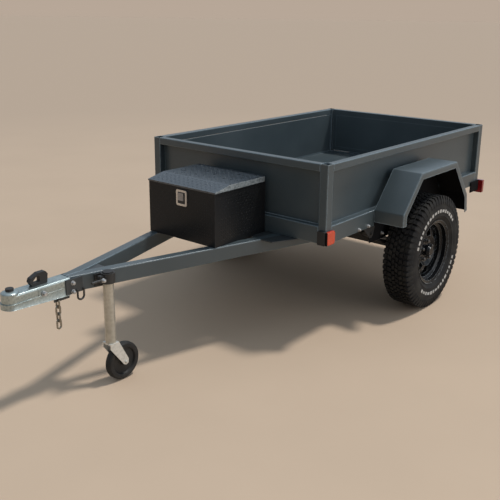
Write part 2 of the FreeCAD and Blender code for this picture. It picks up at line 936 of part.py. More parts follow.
def jockey_fork():
    """A crown plate with its stem, and two arms that sweep back to the axle bolt."""
    crown_top = "(tube_foot_z - clamp_gap)"
    half = "(jockey_wheel_wide / 2 + fork_gap)"
    centre = "jockey_wheel_radius"
    ring = [
        (JOCKEY_X + " + 2 * stem_radius", crown_top),
        (JOCKEY_X + " - 2 * stem_radius", crown_top),
        (CASTOR_X + " - fork_tip", centre + " + fork_tip * 0.8"),
        (CASTOR_X + " - fork_tip * 0.9", centre + " - fork_tip * 0.6"),
        (CASTOR_X, centre + " - fork_tip"),
        (CASTOR_X + " + fork_tip * 0.9", centre + " - fork_tip * 0.6"),
        (JOCKEY_X + " + 2 * stem_radius", crown_top + " - stem_long"),
    ]
    body = new_body("fork_arms")
    pad(body, outline(body, "fork_side", "XZ_Plane", [ring]), "2 * %s + 2 * fork_wall" % half, both_ways=True)
    place(body, "0", JOCKEY_Y, "0")
    room = block(
        "fork_room",
        CASTOR_X + " - 2 * jockey_wheel_radius",
        JOCKEY_Y + " - " + half,
        "0",
        "4 * jockey_wheel_radius",
        "2 * " + half,
        crown_top + " - fork_crown",
    )
    stem = rod(
        "fork_stem",
        JOCKEY_X,
        JOCKEY_Y,
        crown_top + " - fork_crown / 2",
        "stem_radius",
        "stem_long",
        "Z",
    )
    bolt_half = "(%s + fork_wall + bolt_end)" % half
    bolt = rod(
        "fork_bolt",
        CASTOR_X,
        JOCKEY_Y + " - " + bolt_half,
        centre,
        "axle_bolt_radius",
        "2 * " + bolt_half,
        "Y",
    )
    return join("jockey_fork", cut("fork_open", body, room), stem, bolt)


node(jockey_fork(), "jockey_fork")


def turned(name, ring, x, y, z):
    """A ring of corners (radius, y) spun about the Y axis."""
    body = new_body(name)
    sketch = outline(body, name + "_profile", "XY_Plane", [ring])
    doc.recompute()
    spin = body.newObject("PartDesign::Revolution", name + "_spin")
    spin.Profile = sketch
    spin.ReferenceAxis = (sketch, ["V_Axis"])
    spin.Angle = 360
    sketch.Visibility = False
    doc.recompute()
    return place(body, x, y, z)


def jockey_wheel():
    half = "jockey_wheel_wide / 2"
    reach = "jockey_wheel_radius"
    right = [
        ("axle_bolt_radius + running_gap", half + " + fork_gap - 1"),
        ("jockey_boss", half + " + fork_gap - 1"),
        ("jockey_boss + 2", "jockey_web"),
        (reach + " - jockey_tread - 4", "jockey_web"),
        (reach + " - jockey_tread", half + " - 2"),
        (reach + " - jockey_tread + 6", half),
        (reach + " - jockey_shoulder", half),
        (reach + " - jockey_shoulder / 4", half + " - jockey_shoulder * 0.75"),
        (reach, half + " - jockey_shoulder * 1.5"),
    ]
    left = [(a, "-(" + b + ")") for a, b in reversed(right)]
    return turned("jockey_wheel", right + left, CASTOR_X, JOCKEY_Y, "jockey_wheel_radius")


node(jockey_wheel(), "jockey_wheel")


# Chassis and box body
def corner_posts():
    posts = []
    for k, (x, y) in enumerate(
        (
            (FRONT + " - post_side / 2", HALF + " - post_side / 2"),
            (FRONT + " - post_side / 2", "-(" + HALF + " - post_side / 2)"),
            (REAR + " + post_side / 2", HALF + " - post_side / 2"),
            (REAR + " + post_side / 2", "-(" + HALF + " - post_side / 2)"),
        )
    ):
        posts.append(
            bar(
                "corner_post_%d" % k,
                "Z",
                x,
                y,
                "chassis_z",
                "post_side",
                "post_side",
                "body_top - chassis_z",
                wall="post_wall",
            )
        )
    return posts


posts = corner_posts()
node(group("corner_posts", *posts), "corner_posts")

INSIDE_LEN = "(body_len - 2 * post_side)"
INSIDE_WID = "(body_wid - 2 * post_side)"
INSIDE_REAR = "(" + REAR + " + post_side)"


def side_rail(name, z, wide, high):
    return bar(name, "X", INSIDE_REAR, HALF + " - %s / 2" % wide, z, wide, high, INSIDE_LEN)


def end_rail(name, x, z, wide, high):
    return bar(name, "Y", x, "-" + INSIDE_WID + " / 2", z, wide, high, INSIDE_WID)


rail_left = side_rail("chassis_rail_left", "chassis_z + chassis_high / 2", "chassis_thick", "chassis_high")
node(group("chassis_rails_side", rail_left, mirror("chassis_rail_right", rail_left)), "chassis_rails_side")
node(
    end_rail(
        "chassis_rail_front",
        FRONT + " - chassis_thick / 2",
        "chassis_z + chassis_high / 2",
        "chassis_thick",
        "chassis_high",
    ),
    "chassis_rail_front",
)
node(
    end_rail(
        "chassis_rail_rear",
        REAR + " + chassis_thick / 2",
        "chassis_z + chassis_high / 2",
        "chassis_thick",
        "chassis_high",
    ),
    "chassis_rail_rear",
)
top_left = side_rail("top_rail_left", "body_top - rail_side / 2", "rail_side", "rail_side")
top_front = end_rail(
    "top_rail_front",
    FRONT + " - rail_side / 2",
    "body_top - rail_side / 2",
    "rail_side",
    "rail_side",
)
node(group("top_rails", top_left, mirror("top_rail_right", top_left), top_front), "top_rails")


def cross_members():
    high = "(chassis_high - floor_drop - floor_thick)"
    return [
        bar(
            "cross_member_%d" % k,
            "Y",
            "%s - %d * body_len / (cross_count + 1)" % (FRONT, k + 1),
            "-(%s - chassis_thick)" % HALF,
            "chassis_z + %s / 2" % high,
            "cross_thick",
            high,
            "2 * (%s - chassis_thick)" % HALF,
        )
        for k in range(SIZES["cross_count"])
    ]


node(group("cross_members", *cross_members()), "cross_members")


def floor_sheet():
    sheet_box = block(
        "floor_whole",
        REAR + " + chassis_thick + seat_gap",
        "-(%s - chassis_thick - seat_gap)" % HALF,
        RAIL_TOP + " - floor_drop - floor_thick",
        "body_len - 2 * chassis_thick - 2 * seat_gap",
        "2 * (%s - chassis_thick - seat_gap)" % HALF,
        "floor_thick",
    )
    corners = [
        block(
            "floor_corner_%d" % k,
            x,
            y,
            RAIL_TOP + " - chassis_high",
            "post_side",
            "post_side",
            "chassis_high",
        )
        for k, (x, y) in enumerate(
            (
                (FRONT + " - post_side - seat_gap", HALF + " - post_side - seat_gap"),
                (FRONT + " - post_side - seat_gap", "-" + HALF + " + seat_gap"),
                (REAR + " + seat_gap", HALF + " - post_side - seat_gap"),
                (REAR + " + seat_gap", "-" + HALF + " + seat_gap"),
            )
        )
    ]
    return cut("floor_sheet", sheet_box, *corners)


node(floor_sheet(), "floor_sheet")

WALL_HIGH = "(body_top - rail_side - " + RAIL_TOP + ")"
side_left = block(
    "side_panel_left",
    INSIDE_REAR,
    HALF + " - panel_inset - sheet_thick",
    RAIL_TOP,
    INSIDE_LEN,
    "sheet_thick",
    WALL_HIGH,
)
front_skin = block(
    "front_panel",
    FRONT + " - panel_inset - sheet_thick",
    "-" + INSIDE_WID + " / 2",
    RAIL_TOP,
    "sheet_thick",
    INSIDE_WID,
    WALL_HIGH,
)
node(group("body_panels", side_left, mirror("side_panel_right", side_left), front_skin), "body_panels")


# Mudguard: folded sheet with a turned-down lip outside and a flange against the chassis rail
def mudguard():
    slope = "atan((guard_top_z - guard_bend_z) / (guard_half_bend - guard_half_top))"

    def profile(inset):
        low_shift = "%s * tan((90deg - %s) / 2)" % (inset, slope)
        top_shift = "%s * tan(%s / 2)" % (inset, slope)
        front = [
            ("guard_half_bend - " + inset, "guard_low_z"),
            ("guard_half_bend - " + inset, "guard_bend_z - " + low_shift),
            ("guard_half_top - " + top_shift, "guard_top_z - " + inset),
        ]
        return front + [("-(" + a + ")", b) for a, b in reversed(front)]

    def strip(name, inset, y, wide):
        body = new_body(name)
        ring = profile("0") + list(reversed(profile(inset)))
        pad(body, outline(body, name + "_profile", "XZ_Plane", [ring]), wide, reverse=True)
        return place(body, AXLE_X, y, "0")

    sheet_part = strip("guard_sheet", "sheet_thick", HALF, "guard_wide")
    lip = strip("guard_lip_part", "guard_lip", HALF + " + guard_wide - sheet_thick", "sheet_thick")
    flange = strip("guard_flange_part", "guard_flange", HALF, "sheet_thick")
    return join("mudguard_left", sheet_part, lip, flange)


guard_left = node(mudguard(), "mudguard_left")
node(mirror("mudguard_right", guard_left), "mudguard_right")


# Leaf springs: arcs of flat bar, the longest rolled into an eye at each end
SPRING_Y = "(" + HALF + " - spring_inset)"
BEAM_TOP = "(tyre_radius + beam_side / 2)"
LEAF_RADIUS = "((spring_half ^ 2 + spring_rise ^ 2) / (2 * spring_rise))"
SEAT_Z = "(" + BEAM_TOP + " + beam_pad)"
ARC_Z = "(" + SEAT_Z + " + leaf_count * leaf_thick + " + LEAF_RADIUS + ")"
EYE_SWING = "asin(spring_half / " + LEAF_RADIUS + ")"
EYE_REACH = "(" + LEAF_RADIUS + " + leaf_thick - eye_radius)"
EYE_OUT = "(" + EYE_REACH + " * sin(" + EYE_SWING + "))"
EYE_Z = "(" + ARC_Z + " - " + EYE_REACH + " * cos(" + EYE_SWING + "))"


def leaf(k):
    """One leaf, counted down from the main one; its arc is centred above the axle."""
    inner = number(LEAF_RADIUS + " + %d * leaf_thick" % k)
    outer = inner + number("leaf_thick")
    half = number("spring_half") * (1 - 0.17 * k)
    swing = math.asin(half / inner)
    centre = FreeCAD.Vector(0, number(ARC_Z), 0)
    flat = FreeCAD.Vector(0, 0, 1)
    start, stop = 1.5 * math.pi - swing, 1.5 * math.pi + swing
    body = new_body("leaf_%d" % k)
    sketch = sketch_on(body, "XZ_Plane", "leaf_side_%d" % k)
    upper = Part.ArcOfCircle(Part.Circle(centre, flat, inner), start, stop)
    lower = Part.ArcOfCircle(Part.Circle(centre, flat, outer), start, stop)
    sketch.addGeometry(upper, False)
    sketch.addGeometry(lower, False)
    sketch.addGeometry(Part.LineSegment(upper.StartPoint, lower.StartPoint), False)
    sketch.addGeometry(Part.LineSegment(upper.EndPoint, lower.EndPoint), False)
    for arc, size_text in ((0, "%s + %d * leaf_thick"), (1, "%s + (%d + 1) * leaf_thick")):
        index = sketch.addConstraint(Sketcher.Constraint("Radius", arc, inner if arc == 0 else outer))
        bind(sketch, "Constraints[%d]" % index, size_text % (LEAF_RADIUS, k))
    pad(body, sketch, "leaf_wide", both_ways=True)
    return place(body, AXLE_X, SPRING_Y, "0")


def leaf_spring():
    main = leaf(0)
    eyes, holes = [], []
    for k, side in enumerate(("+", "-")):
        x = "%s %s %s" % (AXLE_X, side, EYE_OUT)
        low = SPRING_Y + " - leaf_wide / 2"
        eyes.append(rod("spring_eye_%d" % k, x, low, EYE_Z, "eye_radius", "leaf_wide", "Y"))
        holes.append(
            rod("eye_hole_%d" % k, x, low + " - 1", EYE_Z, "eye_pin_radius + seat_gap", "leaf_wide + 2", "Y")
        )
    top = cut("main_leaf", join("main_leaf_whole", main, *eyes), *holes)
    return join("leaf_spring_left", top, *[leaf(k) for k in range(1, SIZES["leaf_count"])])


spring_left = leaf_spring()
node(group("leaf_springs", spring_left, mirror("leaf_spring_right", spring_left)), "leaf_springs")


# Hangers under the chassis rail, with the shackle that lets the rear eye move
def hanger(name, pin_x, pin_z, lead, cheek, foot, below):
    """A folded bracket that is open below and at its ends, with the pin it holds."""
    inner = "(leaf_wide / 2 + hanger_room)"
    outer = "(" + inner + " + hanger_wall)"
    ring = [
        (pin_x + " + " + lead, "chassis_z"),
        (pin_x + " - hanger_back", "chassis_z"),
        (pin_x + " - " + cheek, pin_z + " - " + below + " / 2"),
        (pin_x + " - " + foot, pin_z + " - " + below),
        (pin_x + " + " + foot, pin_z + " - " + below),
        (pin_x + " + " + cheek, pin_z + " - " + below + " / 2"),
    ]
    body = new_body(name)
    pad(body, outline(body, name + "_side", "XZ_Plane", [ring]), "2 * " + outer, both_ways=True)
    place(body, "0", SPRING_Y, "0")
    room = block(
        name + "_room",
        pin_x + " - 2 * hanger_lead",
        SPRING_Y + " - " + inner,
        "chassis_z - 2 * spring_rise",
        "4 * hanger_lead",
        "2 * " + inner,
        "2 * spring_rise - hanger_wall",
    )
    return join(name + "_set", cut(name + "_open", body, room), spring_pin(name + "_pin", pin_x, pin_z))


def spring_pin(name, x, z):
    half = "(leaf_wide / 2 + hanger_room + hanger_wall + pin_end)"
    return rod(name, x, SPRING_Y + " - " + half, z, "eye_pin_radius", "2 * " + half, "Y")


def spring_hangers():
    outer = "(leaf_wide / 2 + hanger_room + hanger_wall)"
    front = hanger(
        "front_hanger",
        AXLE_X + " + " + EYE_OUT,
        EYE_Z,
        "hanger_lead",
        "hanger_cheek",
        "hanger_foot",
        "hanger_below",
    )
    rear_x = AXLE_X + " - " + EYE_OUT
    pin_x = rear_x + " - shackle_len * 0.8"
    pin_z = EYE_Z + " + hanger_below"
    rear = hanger(
        "rear_hanger",
        pin_x,
        pin_z,
        "hanger_back * 0.75",
        "2 * eye_pin_radius",
        "eye_pin_radius",
        "2 * pin_end",
    )
    plates = []
    starts = (
        SPRING_Y + " + " + outer + " + shackle_room",
        SPRING_Y + " - " + outer + " - hanger_wall - shackle_room",
    )
    for k, low in enumerate(starts):
        body = new_body("shackle_%d" % k)
        ring = [
            (rear_x + " + shackle_end", EYE_Z + " - shackle_end"),
            (rear_x + " + shackle_end", EYE_Z + " + shackle_end / 2"),
            (pin_x + " + shackle_end / 3", pin_z + " + shackle_end"),
            (pin_x + " - shackle_end", pin_z + " + shackle_end"),
            (pin_x + " - shackle_end", pin_z + " - shackle_end / 2"),
            (rear_x + " - shackle_end / 3", EYE_Z + " - shackle_end"),
        ]
        pad(body, outline(body, "shackle_side_%d" % k, "XZ_Plane", [ring]), "hanger_wall", reverse=True)
        plates.append(place(body, "0", low, "0"))
    return [front, join("shackle_set", rear, spring_pin("shackle_pin", rear_x, EYE_Z), *plates)]


hangers = spring_hangers()
hangers += [mirror(hanger.Name + "_right", hanger) for hanger in hangers]
node(group("spring_hangers", *hangers), "spring_hangers")


# Axle: a square beam with a round spindle at each end
BEAM_HALF = "(" + TYRE_Y + " + disc_out - hub_deep)"


def axle_beam():
    beam_x = AXLE_X + " - beam_side / 2"
    beam_z = "tyre_radius - beam_side / 2"
    beam = block("axle_square", beam_x, "-" + BEAM_HALF, beam_z, "beam_side", "2 * " + BEAM_HALF, "beam_side")
    spindle_half = "(" + BEAM_HALF + " + hub_deep + hub_nose - 2 * hub_cap_wall)"
    spindle = rod(
        "axle_spindle",
        AXLE_X,
        "-" + spindle_half,
        "tyre_radius",
        "spindle_radius",
        "2 * " + spindle_half,
        "Y",
    )
    pads = [
        block("beam_pad_%d" % k, AXLE_X + " - beam_side / 2", y, BEAM_TOP, "beam_side", "leaf_wide", "beam_pad")
        for k, y in enumerate((SPRING_Y + " - leaf_wide / 2", "-(" + SPRING_Y + ") - leaf_wide / 2"))
    ]
    return join("axle_beam", beam, spindle, *pads)


node(axle_beam(), "axle_beam")


def axle_clamps():
    """U-bolts round the leaves, and the plate they pull up against the beam."""
    low = "(tyre_radius - beam_side / 2 - clamp_plate)"
    top = "(" + SEAT_Z + " + leaf_count * leaf_thick + seat_gap)"
    corner_x = AXLE_X + " - clamp_side / 2"
    corner_y = SPRING_Y + " - clamp_side / 2"
    plate = block("clamp_under", corner_x, corner_y, low, "clamp_side", "clamp_side", "clamp_plate")
    rise = "clamp_side ^ 2 / (8 * " + LEAF_RADIUS + ")"
    cover = block(
        "clamp_cover",
        corner_x,
        corner_y,
        top + " + " + rise,
        "clamp_side",
        "clamp_side",
        "clamp_plate",
    )
    leg_long = top + " + clamp_plate + 2 * u_bolt_end - " + low
    legs = [
        rod(
            "clamp_leg_%d" % k,
            "%s %s u_bolt_half" % (AXLE_X, a),
            "%s %s u_bolt_half" % (SPRING_Y, b),
            low + " - u_bolt_end",
            "u_bolt_radius",
            leg_long,
            "Z",
        )
        for k, (a, b) in enumerate((("+", "+"), ("+", "-"), ("-", "+"), ("-", "-")))
    ]
    return join("axle_clamps_left", plate, cover, *legs)


clamps_left = axle_clamps()
node(group("axle_clamps", clamps_left, mirror("axle_clamps_right", clamps_left)), "axle_clamps")


# Wheels
def rim():
    """Steel rim with a drop well and a dished disc, cut through by windows."""
    edge = "rim_wide / 2"
    seat = "rim_seat_radius"
    well = "(rim_seat_radius - well_deep)"
    under_well = "(" + well + " - rim_wall)"
    under_seat = "(" + seat + " - rim_wall)"
    hump = "(bolt_circle / 2 + disc_hump)"
    foot = "(bolt_circle / 2 + disc_foot)"
    outside = [
        (under_seat, edge + " - rim_lip"),
        ("rim_flange_radius - rim_wall", edge + " - rim_wall"),
        ("rim_flange_radius - rim_curl", edge),
        ("rim_flange_radius", edge),
        ("rim_flange_radius", edge + " - rim_wall"),
        (seat, edge + " - rim_lip"),
        (seat, edge + " - rim_lip - bead_front"),
        (well, edge + " - rim_lip - bead_front - well_slope"),
        (well, "-(" + edge + " - rim_lip - bead_back - well_slope)"),
        (seat, "-(" + edge + " - rim_lip - bead_back)"),
        (seat, "-(" + edge + " - rim_lip)"),
        ("rim_flange_radius", "-(" + edge + " - rim_wall)"),
        ("rim_flange_radius", "-(" + edge + ")"),
        ("rim_flange_radius - rim_curl", "-(" + edge + ")"),
        (under_seat, "-(" + edge + " - rim_lip)"),
        (under_seat, "-(" + edge + " - rim_lip - bead_back + 2)"),
        (under_well, "-(" + edge + " - rim_lip - bead_back - well_slope + 2)"),
    ]
    disc = [
        (under_well, "disc_out - 3 * disc_thick"),
        (under_well + " - 10", "disc_out - 2"),
        (hump, "disc_out + disc_rise"),
        (foot, "disc_out"),
        ("hub_bore_radius", "disc_out"),
        ("hub_bore_radius", "disc_out + disc_thick"),
        (foot + " - 2", "disc_out + disc_thick"),
        (hump, "disc_out + disc_rise + disc_thick"),
        (under_well + " - disc_thick", "disc_out + disc_thick - 2"),
        (under_well, "disc_out - well_slope"),
    ]
    inside = [
        (under_well, edge + " - rim_lip - bead_front - well_slope - 1"),
        (under_seat, edge + " - rim_lip - bead_front"),
    ]
    ring = outside + disc + inside
    body = turned("rim_left", ring, AXLE_X, TYRE_Y, "tyre_radius")
    window = outline(
        body,
        "rim_window",
        "XZ_Plane",
        [
            [
                ("window_in", "-window_wide * 0.36"),
                ("window_out - window_edge", "-window_wide * 0.5"),
                ("window_out", "-window_wide * 0.3"),
                ("window_out", "window_wide * 0.3"),
                ("window_out - window_edge", "window_wide * 0.5"),
                ("window_in", "window_wide * 0.36"),
            ]
        ],
    )
    hole = body.newObject("PartDesign::Pocket", "rim_window_cut")
    hole.Profile = window
    hole.Type = "ThroughAll"
    hole.Midplane = True
    window.Visibility = False
    doc.recompute()
    ring_of = body.newObject("PartDesign::PolarPattern", "rim_windows")
    ring_of.Originals = [hole]
    ring_of.Axis = (plane(body, "Y_Axis"), [""])
    ring_of.Angle = 360
    bind(ring_of, "Occurrences", "window_count")
    body.Tip = ring_of
    doc.recompute()
    return body


rim_left = node(rim(), "rim_left")
node(mirror("rim_right", rim_left), "rim_right")


def tyre():
    """Carcass with its cavity; the tread's pattern is left off."""
    bead = "rim_seat_radius + seat_gap"
    side = "tyre_wide / 2"
    flat = "rim_wide / 2 - rim_lip - 1"
    outer = [
        (bead, flat),
        ("rim_flange_radius + rim_curl", flat + " + 5"),
        ("rim_flange_radius + bulge_low / 3", side + " - shoulder_deep * 0.75"),
        ("rim_flange_radius + bulge_low", side),
        ("tyre_radius - bulge_high", side + " - shoulder_deep / 2"),
        ("tyre_radius - shoulder_deep", "tread_half + shoulder_wide"),
        ("tyre_radius", "tread_half"),
    ]
    inner = [
        ("tyre_radius - casing", "tread_half - 6"),
        ("tyre_radius - bulge_low", side + " - casing * 0.67"),
        (bead, flat + " - bead_casing"),
    ]

    def other(ring):
        return [(a, "-(" + b + ")") for a, b in reversed(ring)]

    ring = outer + other(outer) + other(inner) + inner
    return turned("tyre_left", ring, AXLE_X, TYRE_Y, "tyre_radius")


tyre_left = node(tyre(), "tyre_left")
node(mirror("tyre_right", tyre_left), "tyre_right")


def hub():
    """Hub barrel with its flange and grease cap."""
    back = "seat_gap + weld_gap"
    face = "hub_deep - seat_gap"
    cap = "hub_bore_radius - 1"
    end = "hub_deep + hub_nose"
    ring = [
        ("spindle_radius + running_gap", back),
        ("hub_radius", back),
        ("hub_radius", face + " - hub_flange"),
        ("bolt_circle / 2 + disc_foot - 1", face + " - hub_flange"),
        ("bolt_circle / 2 + disc_foot - 1", face),
        (cap, face),
        (cap, end + " - disc_foot"),
        (cap + " - disc_foot / 2", end),
        ("0", end),
        ("0", end + " - hub_cap_wall"),
        ("spindle_radius + running_gap", end + " - hub_cap_wall"),
    ]
    return turned("hub_left", ring, AXLE_X, BEAM_HALF, "tyre_radius")


hub_left = node(hub(), "hub_left")
node(mirror("hub_right", hub_left), "hub_right")


# Tool box on the drawbar, open at the top under its lid
BOX_X = "(" + FRONT + " + box_gap)"


def toolbox_body():
    outer = block("toolbox_outer", BOX_X, "-box_wide / 2", "chassis_z", "box_deep", "box_wide", "box_high")
    inner = block(
        "toolbox_inner",
        BOX_X + " + box_wall",
        "-box_wide / 2 + box_wall",
        "chassis_z + box_wall",
        "box_deep - 2 * box_wall",
        "box_wide - 2 * box_wall",
        "box_high",
    )
    return cut("toolbox_body", outer, inner)


node(toolbox_body(), "toolbox_body")

LID_PIN_X = "(" + BOX_X + " + lid_pin_radius + 2)"
LID_PIN_Z = "(chassis_z + box_high + lid_pin_radius + 3)"
LID_KNUCKLE = "(lid_pin_radius + 2)"
LID_HINGE_YS = ("(-box_wide * 0.3)", "(box_wide * 0.3)")
LATCH_Y = "(latch_wide / 8)"


def toolbox_lid():
    """A shallow folded lid whose front slopes down to a thin edge."""
    box_top = "(chassis_z + box_high)"
    low = box_top + " - lid_over"
    edge = box_top + " - lid_over + lid_edge"
    top = "(" + edge + " + lid_rise)"
    front = "(" + BOX_X + " + box_deep + lid_gap + box_wall)"
    wide = "(box_wide + 2 * lid_gap + 2 * box_wall)"
    outer_ring = [
        (LID_PIN_X, LID_PIN_Z),
        (LID_PIN_X + " + " + LID_KNUCKLE, LID_PIN_Z),
        (LID_PIN_X + " + " + LID_KNUCKLE, low),
        (front, low),
        (front, edge),
        (front + " - lid_slope_long", top),
        (LID_PIN_X, top),
    ]
    inner_ring = [
        (LID_PIN_X + " + box_wall", low + " - 1"),
        (front + " - box_wall", low + " - 1"),
        (front + " - box_wall", edge + " - box_wall / 2"),
        (front + " - lid_slope_long", top + " - box_wall"),
        (LID_PIN_X + " + box_wall", top + " - box_wall"),
    ]
    outer = new_body("lid_outer")
    pad(outer, outline(outer, "lid_side", "XZ_Plane", [outer_ring]), wide, both_ways=True)
    inner = new_body("lid_inner")
    pad(inner, outline(inner, "lid_inside", "XZ_Plane", [inner_ring]), wide + " - 2 * box_wall", both_ways=True)
    shell = cut("lid_shell", outer, inner)
    knuckles = []
    tools = []
    side_long = "((lid_hinge_wide - lid_hinge_middle) / 2 - hinge_play)"
    for k, y in enumerate(LID_HINGE_YS):
        starts = ("%s - lid_hinge_wide / 2" % y, "%s + lid_hinge_middle / 2 + hinge_play" % y)
        for n, start in enumerate(starts):
            name = "lid_knuckle_%d_%d" % (k, n)
            knuckles.append(rod(name, LID_PIN_X, start, LID_PIN_Z, LID_KNUCKLE, side_long, "Y"))
            bore = "lid_pin_radius + running_gap"
            bore_start = start + " - 2 * lid_pin_radius"
            bore_long = side_long + " + 4 * lid_pin_radius"
            tools.append(rod(name + "_bore", LID_PIN_X, bore_start, LID_PIN_Z, bore, bore_long, "Y"))
        notch = "(%s + hinge_play)" % LID_KNUCKLE
        tools.append(
            block(
                "lid_notch_%d" % k,
                LID_PIN_X + " - " + notch,
                y + " - lid_hinge_middle / 2 - hinge_play",
                LID_PIN_Z + " - " + notch,
                notch + " * 2",
                "lid_hinge_middle + 2 * hinge_play",
                notch + " * 2",
            )
        )
    return cut("toolbox_lid", join("lid_whole", shell, *knuckles), *tools)


node(toolbox_lid(), "toolbox_lid")


def toolbox_hinges():
    """Fixed half of each lid hinge, with its pin."""
    made = []
    plate_x = "(" + BOX_X + " - seat_gap - box_wall)"
    plate_top = "(chassis_z + box_high - lid_over - hinge_play)"
    for k, y in enumerate(LID_HINGE_YS):
        middle_y = y + " - lid_hinge_middle / 2"
        middle = rod(
            "lid_hinge_middle_%d" % k,
            LID_PIN_X,
            middle_y,
            LID_PIN_Z,
            LID_KNUCKLE,
            "lid_hinge_middle",
            "Y",
        )
        pin_y = y + " - lid_hinge_wide / 2 - lid_pin_radius"
        pin_long = "lid_hinge_wide + 2 * lid_pin_radius"
        pin = rod("lid_hinge_pin_%d" % k, LID_PIN_X, pin_y, LID_PIN_Z, "lid_pin_radius", pin_long, "Y")
        plate = block(
            "lid_hinge_plate_%d" % k,
            plate_x,
            y + " - lid_hinge_wide / 2",
            plate_top + " - lid_leaf_high",
            "box_wall",
            "lid_hinge_wide",
            "lid_leaf_high",
        )
        neck = block(
            "lid_hinge_neck_%d" % k,
            plate_x,
            middle_y,
            plate_top,
            "box_wall",
            "lid_hinge_middle",
            LID_PIN_Z + " - " + plate_top,
        )
        web = block(
            "lid_hinge_web_%d" % k,
            plate_x,
            middle_y,
            LID_PIN_Z + " - " + LID_KNUCKLE + " + seat_gap",
            LID_PIN_X + " - " + plate_x,
            "lid_hinge_middle",
            LID_KNUCKLE + " - seat_gap",
        )
        made.append(join("lid_hinge_%d" % k, middle, pin, plate, neck, web))
    return made


node(group("toolbox_hinges", *toolbox_hinges()), "toolbox_hinges")


def toolbox_latch():
    """A rounded frame with a sunk floor, and the paddle that lies on it."""
    x = "(" + BOX_X + " + box_deep + seat_gap)"
    z = "(chassis_z + box_high - latch_drop - latch_high / 2)"
    frame = bar(
        "latch_frame",
        "X",
        x,
        LATCH_Y,
        z,
        "latch_wide",
        "latch_high",
        "latch_thick",
        rounding="latch_round",
    )
    recess = bar(
        "latch_recess",
        "X",
        x + " + latch_thick - latch_recess",
        LATCH_Y,
        z,
        "latch_wide - 2 * latch_border",
        "latch_high - 2 * latch_border",
        "latch_thick",
        rounding="latch_round / 2",
    )
    paddle = bar(
        "latch_paddle",
        "X",
        x + " + latch_thick - latch_recess",
        LATCH_Y + " + (latch_wide - paddle_wide) / 2 - latch_border - 2",
        z + " + (latch_high - paddle_high) / 2 - latch_border - 2",
        "paddle_wide",
        "paddle_high",
        "latch_recess - 1",
        rounding="latch_round / 3",
    )
    return join("toolbox_latch", cut("latch_open", frame, recess), paddle)


node(toolbox_latch(), "toolbox_latch")


# Lamps
MARKER_X = "(" + FRONT + " - marker_behind + marker_long / 2)"
MARKER_Z = "(chassis_z + marker_high / 2)"


def marker_housing():
    """A base on the post's side and a closed body on its front."""
    side = bar(
        "marker_side",
        "Y",
        MARKER_X,
        HALF + " + seat_gap",
        MARKER_Z,
        "marker_long",
        "marker_high",
        "marker_base - seat_gap",
        rounding="marker_round",
    )
    front = bar(
        "marker_front",
        "X",
        FRONT + " + seat_gap",
        HALF + " + marker_base - marker_front_wide / 2",
        MARKER_Z,
        "marker_front_wide",
        "marker_high",
        "marker_front_deep",
        rounding="lens_round",
    )
    return join("marker_housing_left", side, front)


housing_front = marker_housing()
node(group("marker_housings", housing_front, mirror("marker_housing_right", housing_front)), "marker_housings")


def marker_lens():
    return bar(
        "marker_lens_left",
        "Y",
        MARKER_X,
        HALF + " + marker_base + seat_gap",
        MARKER_Z,
        "marker_long",
        "marker_high",
        "lens_deep",
        rounding="marker_round",
        dome="lens_round",
    )


lens_left = marker_lens()
node(group("marker_lenses", lens_left, mirror("marker_lens_right", lens_left)), "marker_lenses")

TAIL_INNER = "(" + HALF + " + tail_out - tail_wide)"
TAIL_SPLIT = "(" + HALF + " + tail_out - tail_side_wide)"
TAIL_Z = "(chassis_z - tail_low + tail_high / 2)"
TAIL_BODY_X = "(" + REAR + " - seat_gap - tail_body_deep)"


def tail_housing():
    """The lamp's closed body, on the rear face of the post."""
    return bar(
        "tail_housing_left",
        "X",
        TAIL_BODY_X,
        "(" + TAIL_INNER + " + " + TAIL_SPLIT + ") / 2",
        TAIL_Z,
        "tail_wide - tail_side_wide",
        "tail_high",
        "tail_body_deep",
        rounding="tail_round / 2",
    )


housing_left = tail_housing()
node(group("tail_housings", housing_left, mirror("tail_housing_right", housing_left)), "tail_housings")


def tail_lens():
    """A lens over the body's back that wraps round its outer side."""
    whole = bar(
        "tail_lens_whole",
        "X",
        REAR + " - rear_overhang",
        HALF + " + tail_out - tail_wide / 2",
        TAIL_Z,
        "tail_wide",
        "tail_high",
        "rear_overhang - seat_gap",
        rounding="tail_round",
        dome="tail_round / 2",
    )
    room = block(
        "tail_lens_room",
        TAIL_BODY_X + " - seat_gap",
        TAIL_INNER + " - 1",
        TAIL_Z + " - tail_high",
        "rear_overhang",
        "tail_wide - tail_side_wide + seat_gap + 1",
        "2 * tail_high",
    )
    return cut("tail_lens_left", whole, room)


tail_left = tail_lens()
node(group("tail_lenses", tail_left, mirror("tail_lens_right", tail_left)), "tail_lenses")


# Tailgate, hinged on the rear rail, with an ear at each top corner
GATE_PIN_X = "(" + REAR + " - gate_pin_radius - knuckle_wall - hinge_gap)"
GATE_PIN_Z = "(" + RAIL_TOP + " + gate_gap / 2)"
KNUCKLE_RADIUS = "(gate_pin_radius + knuckle_wall)"
HINGE_YS = ("(-body_wid * 0.3)", "(body_wid * 0.3)")


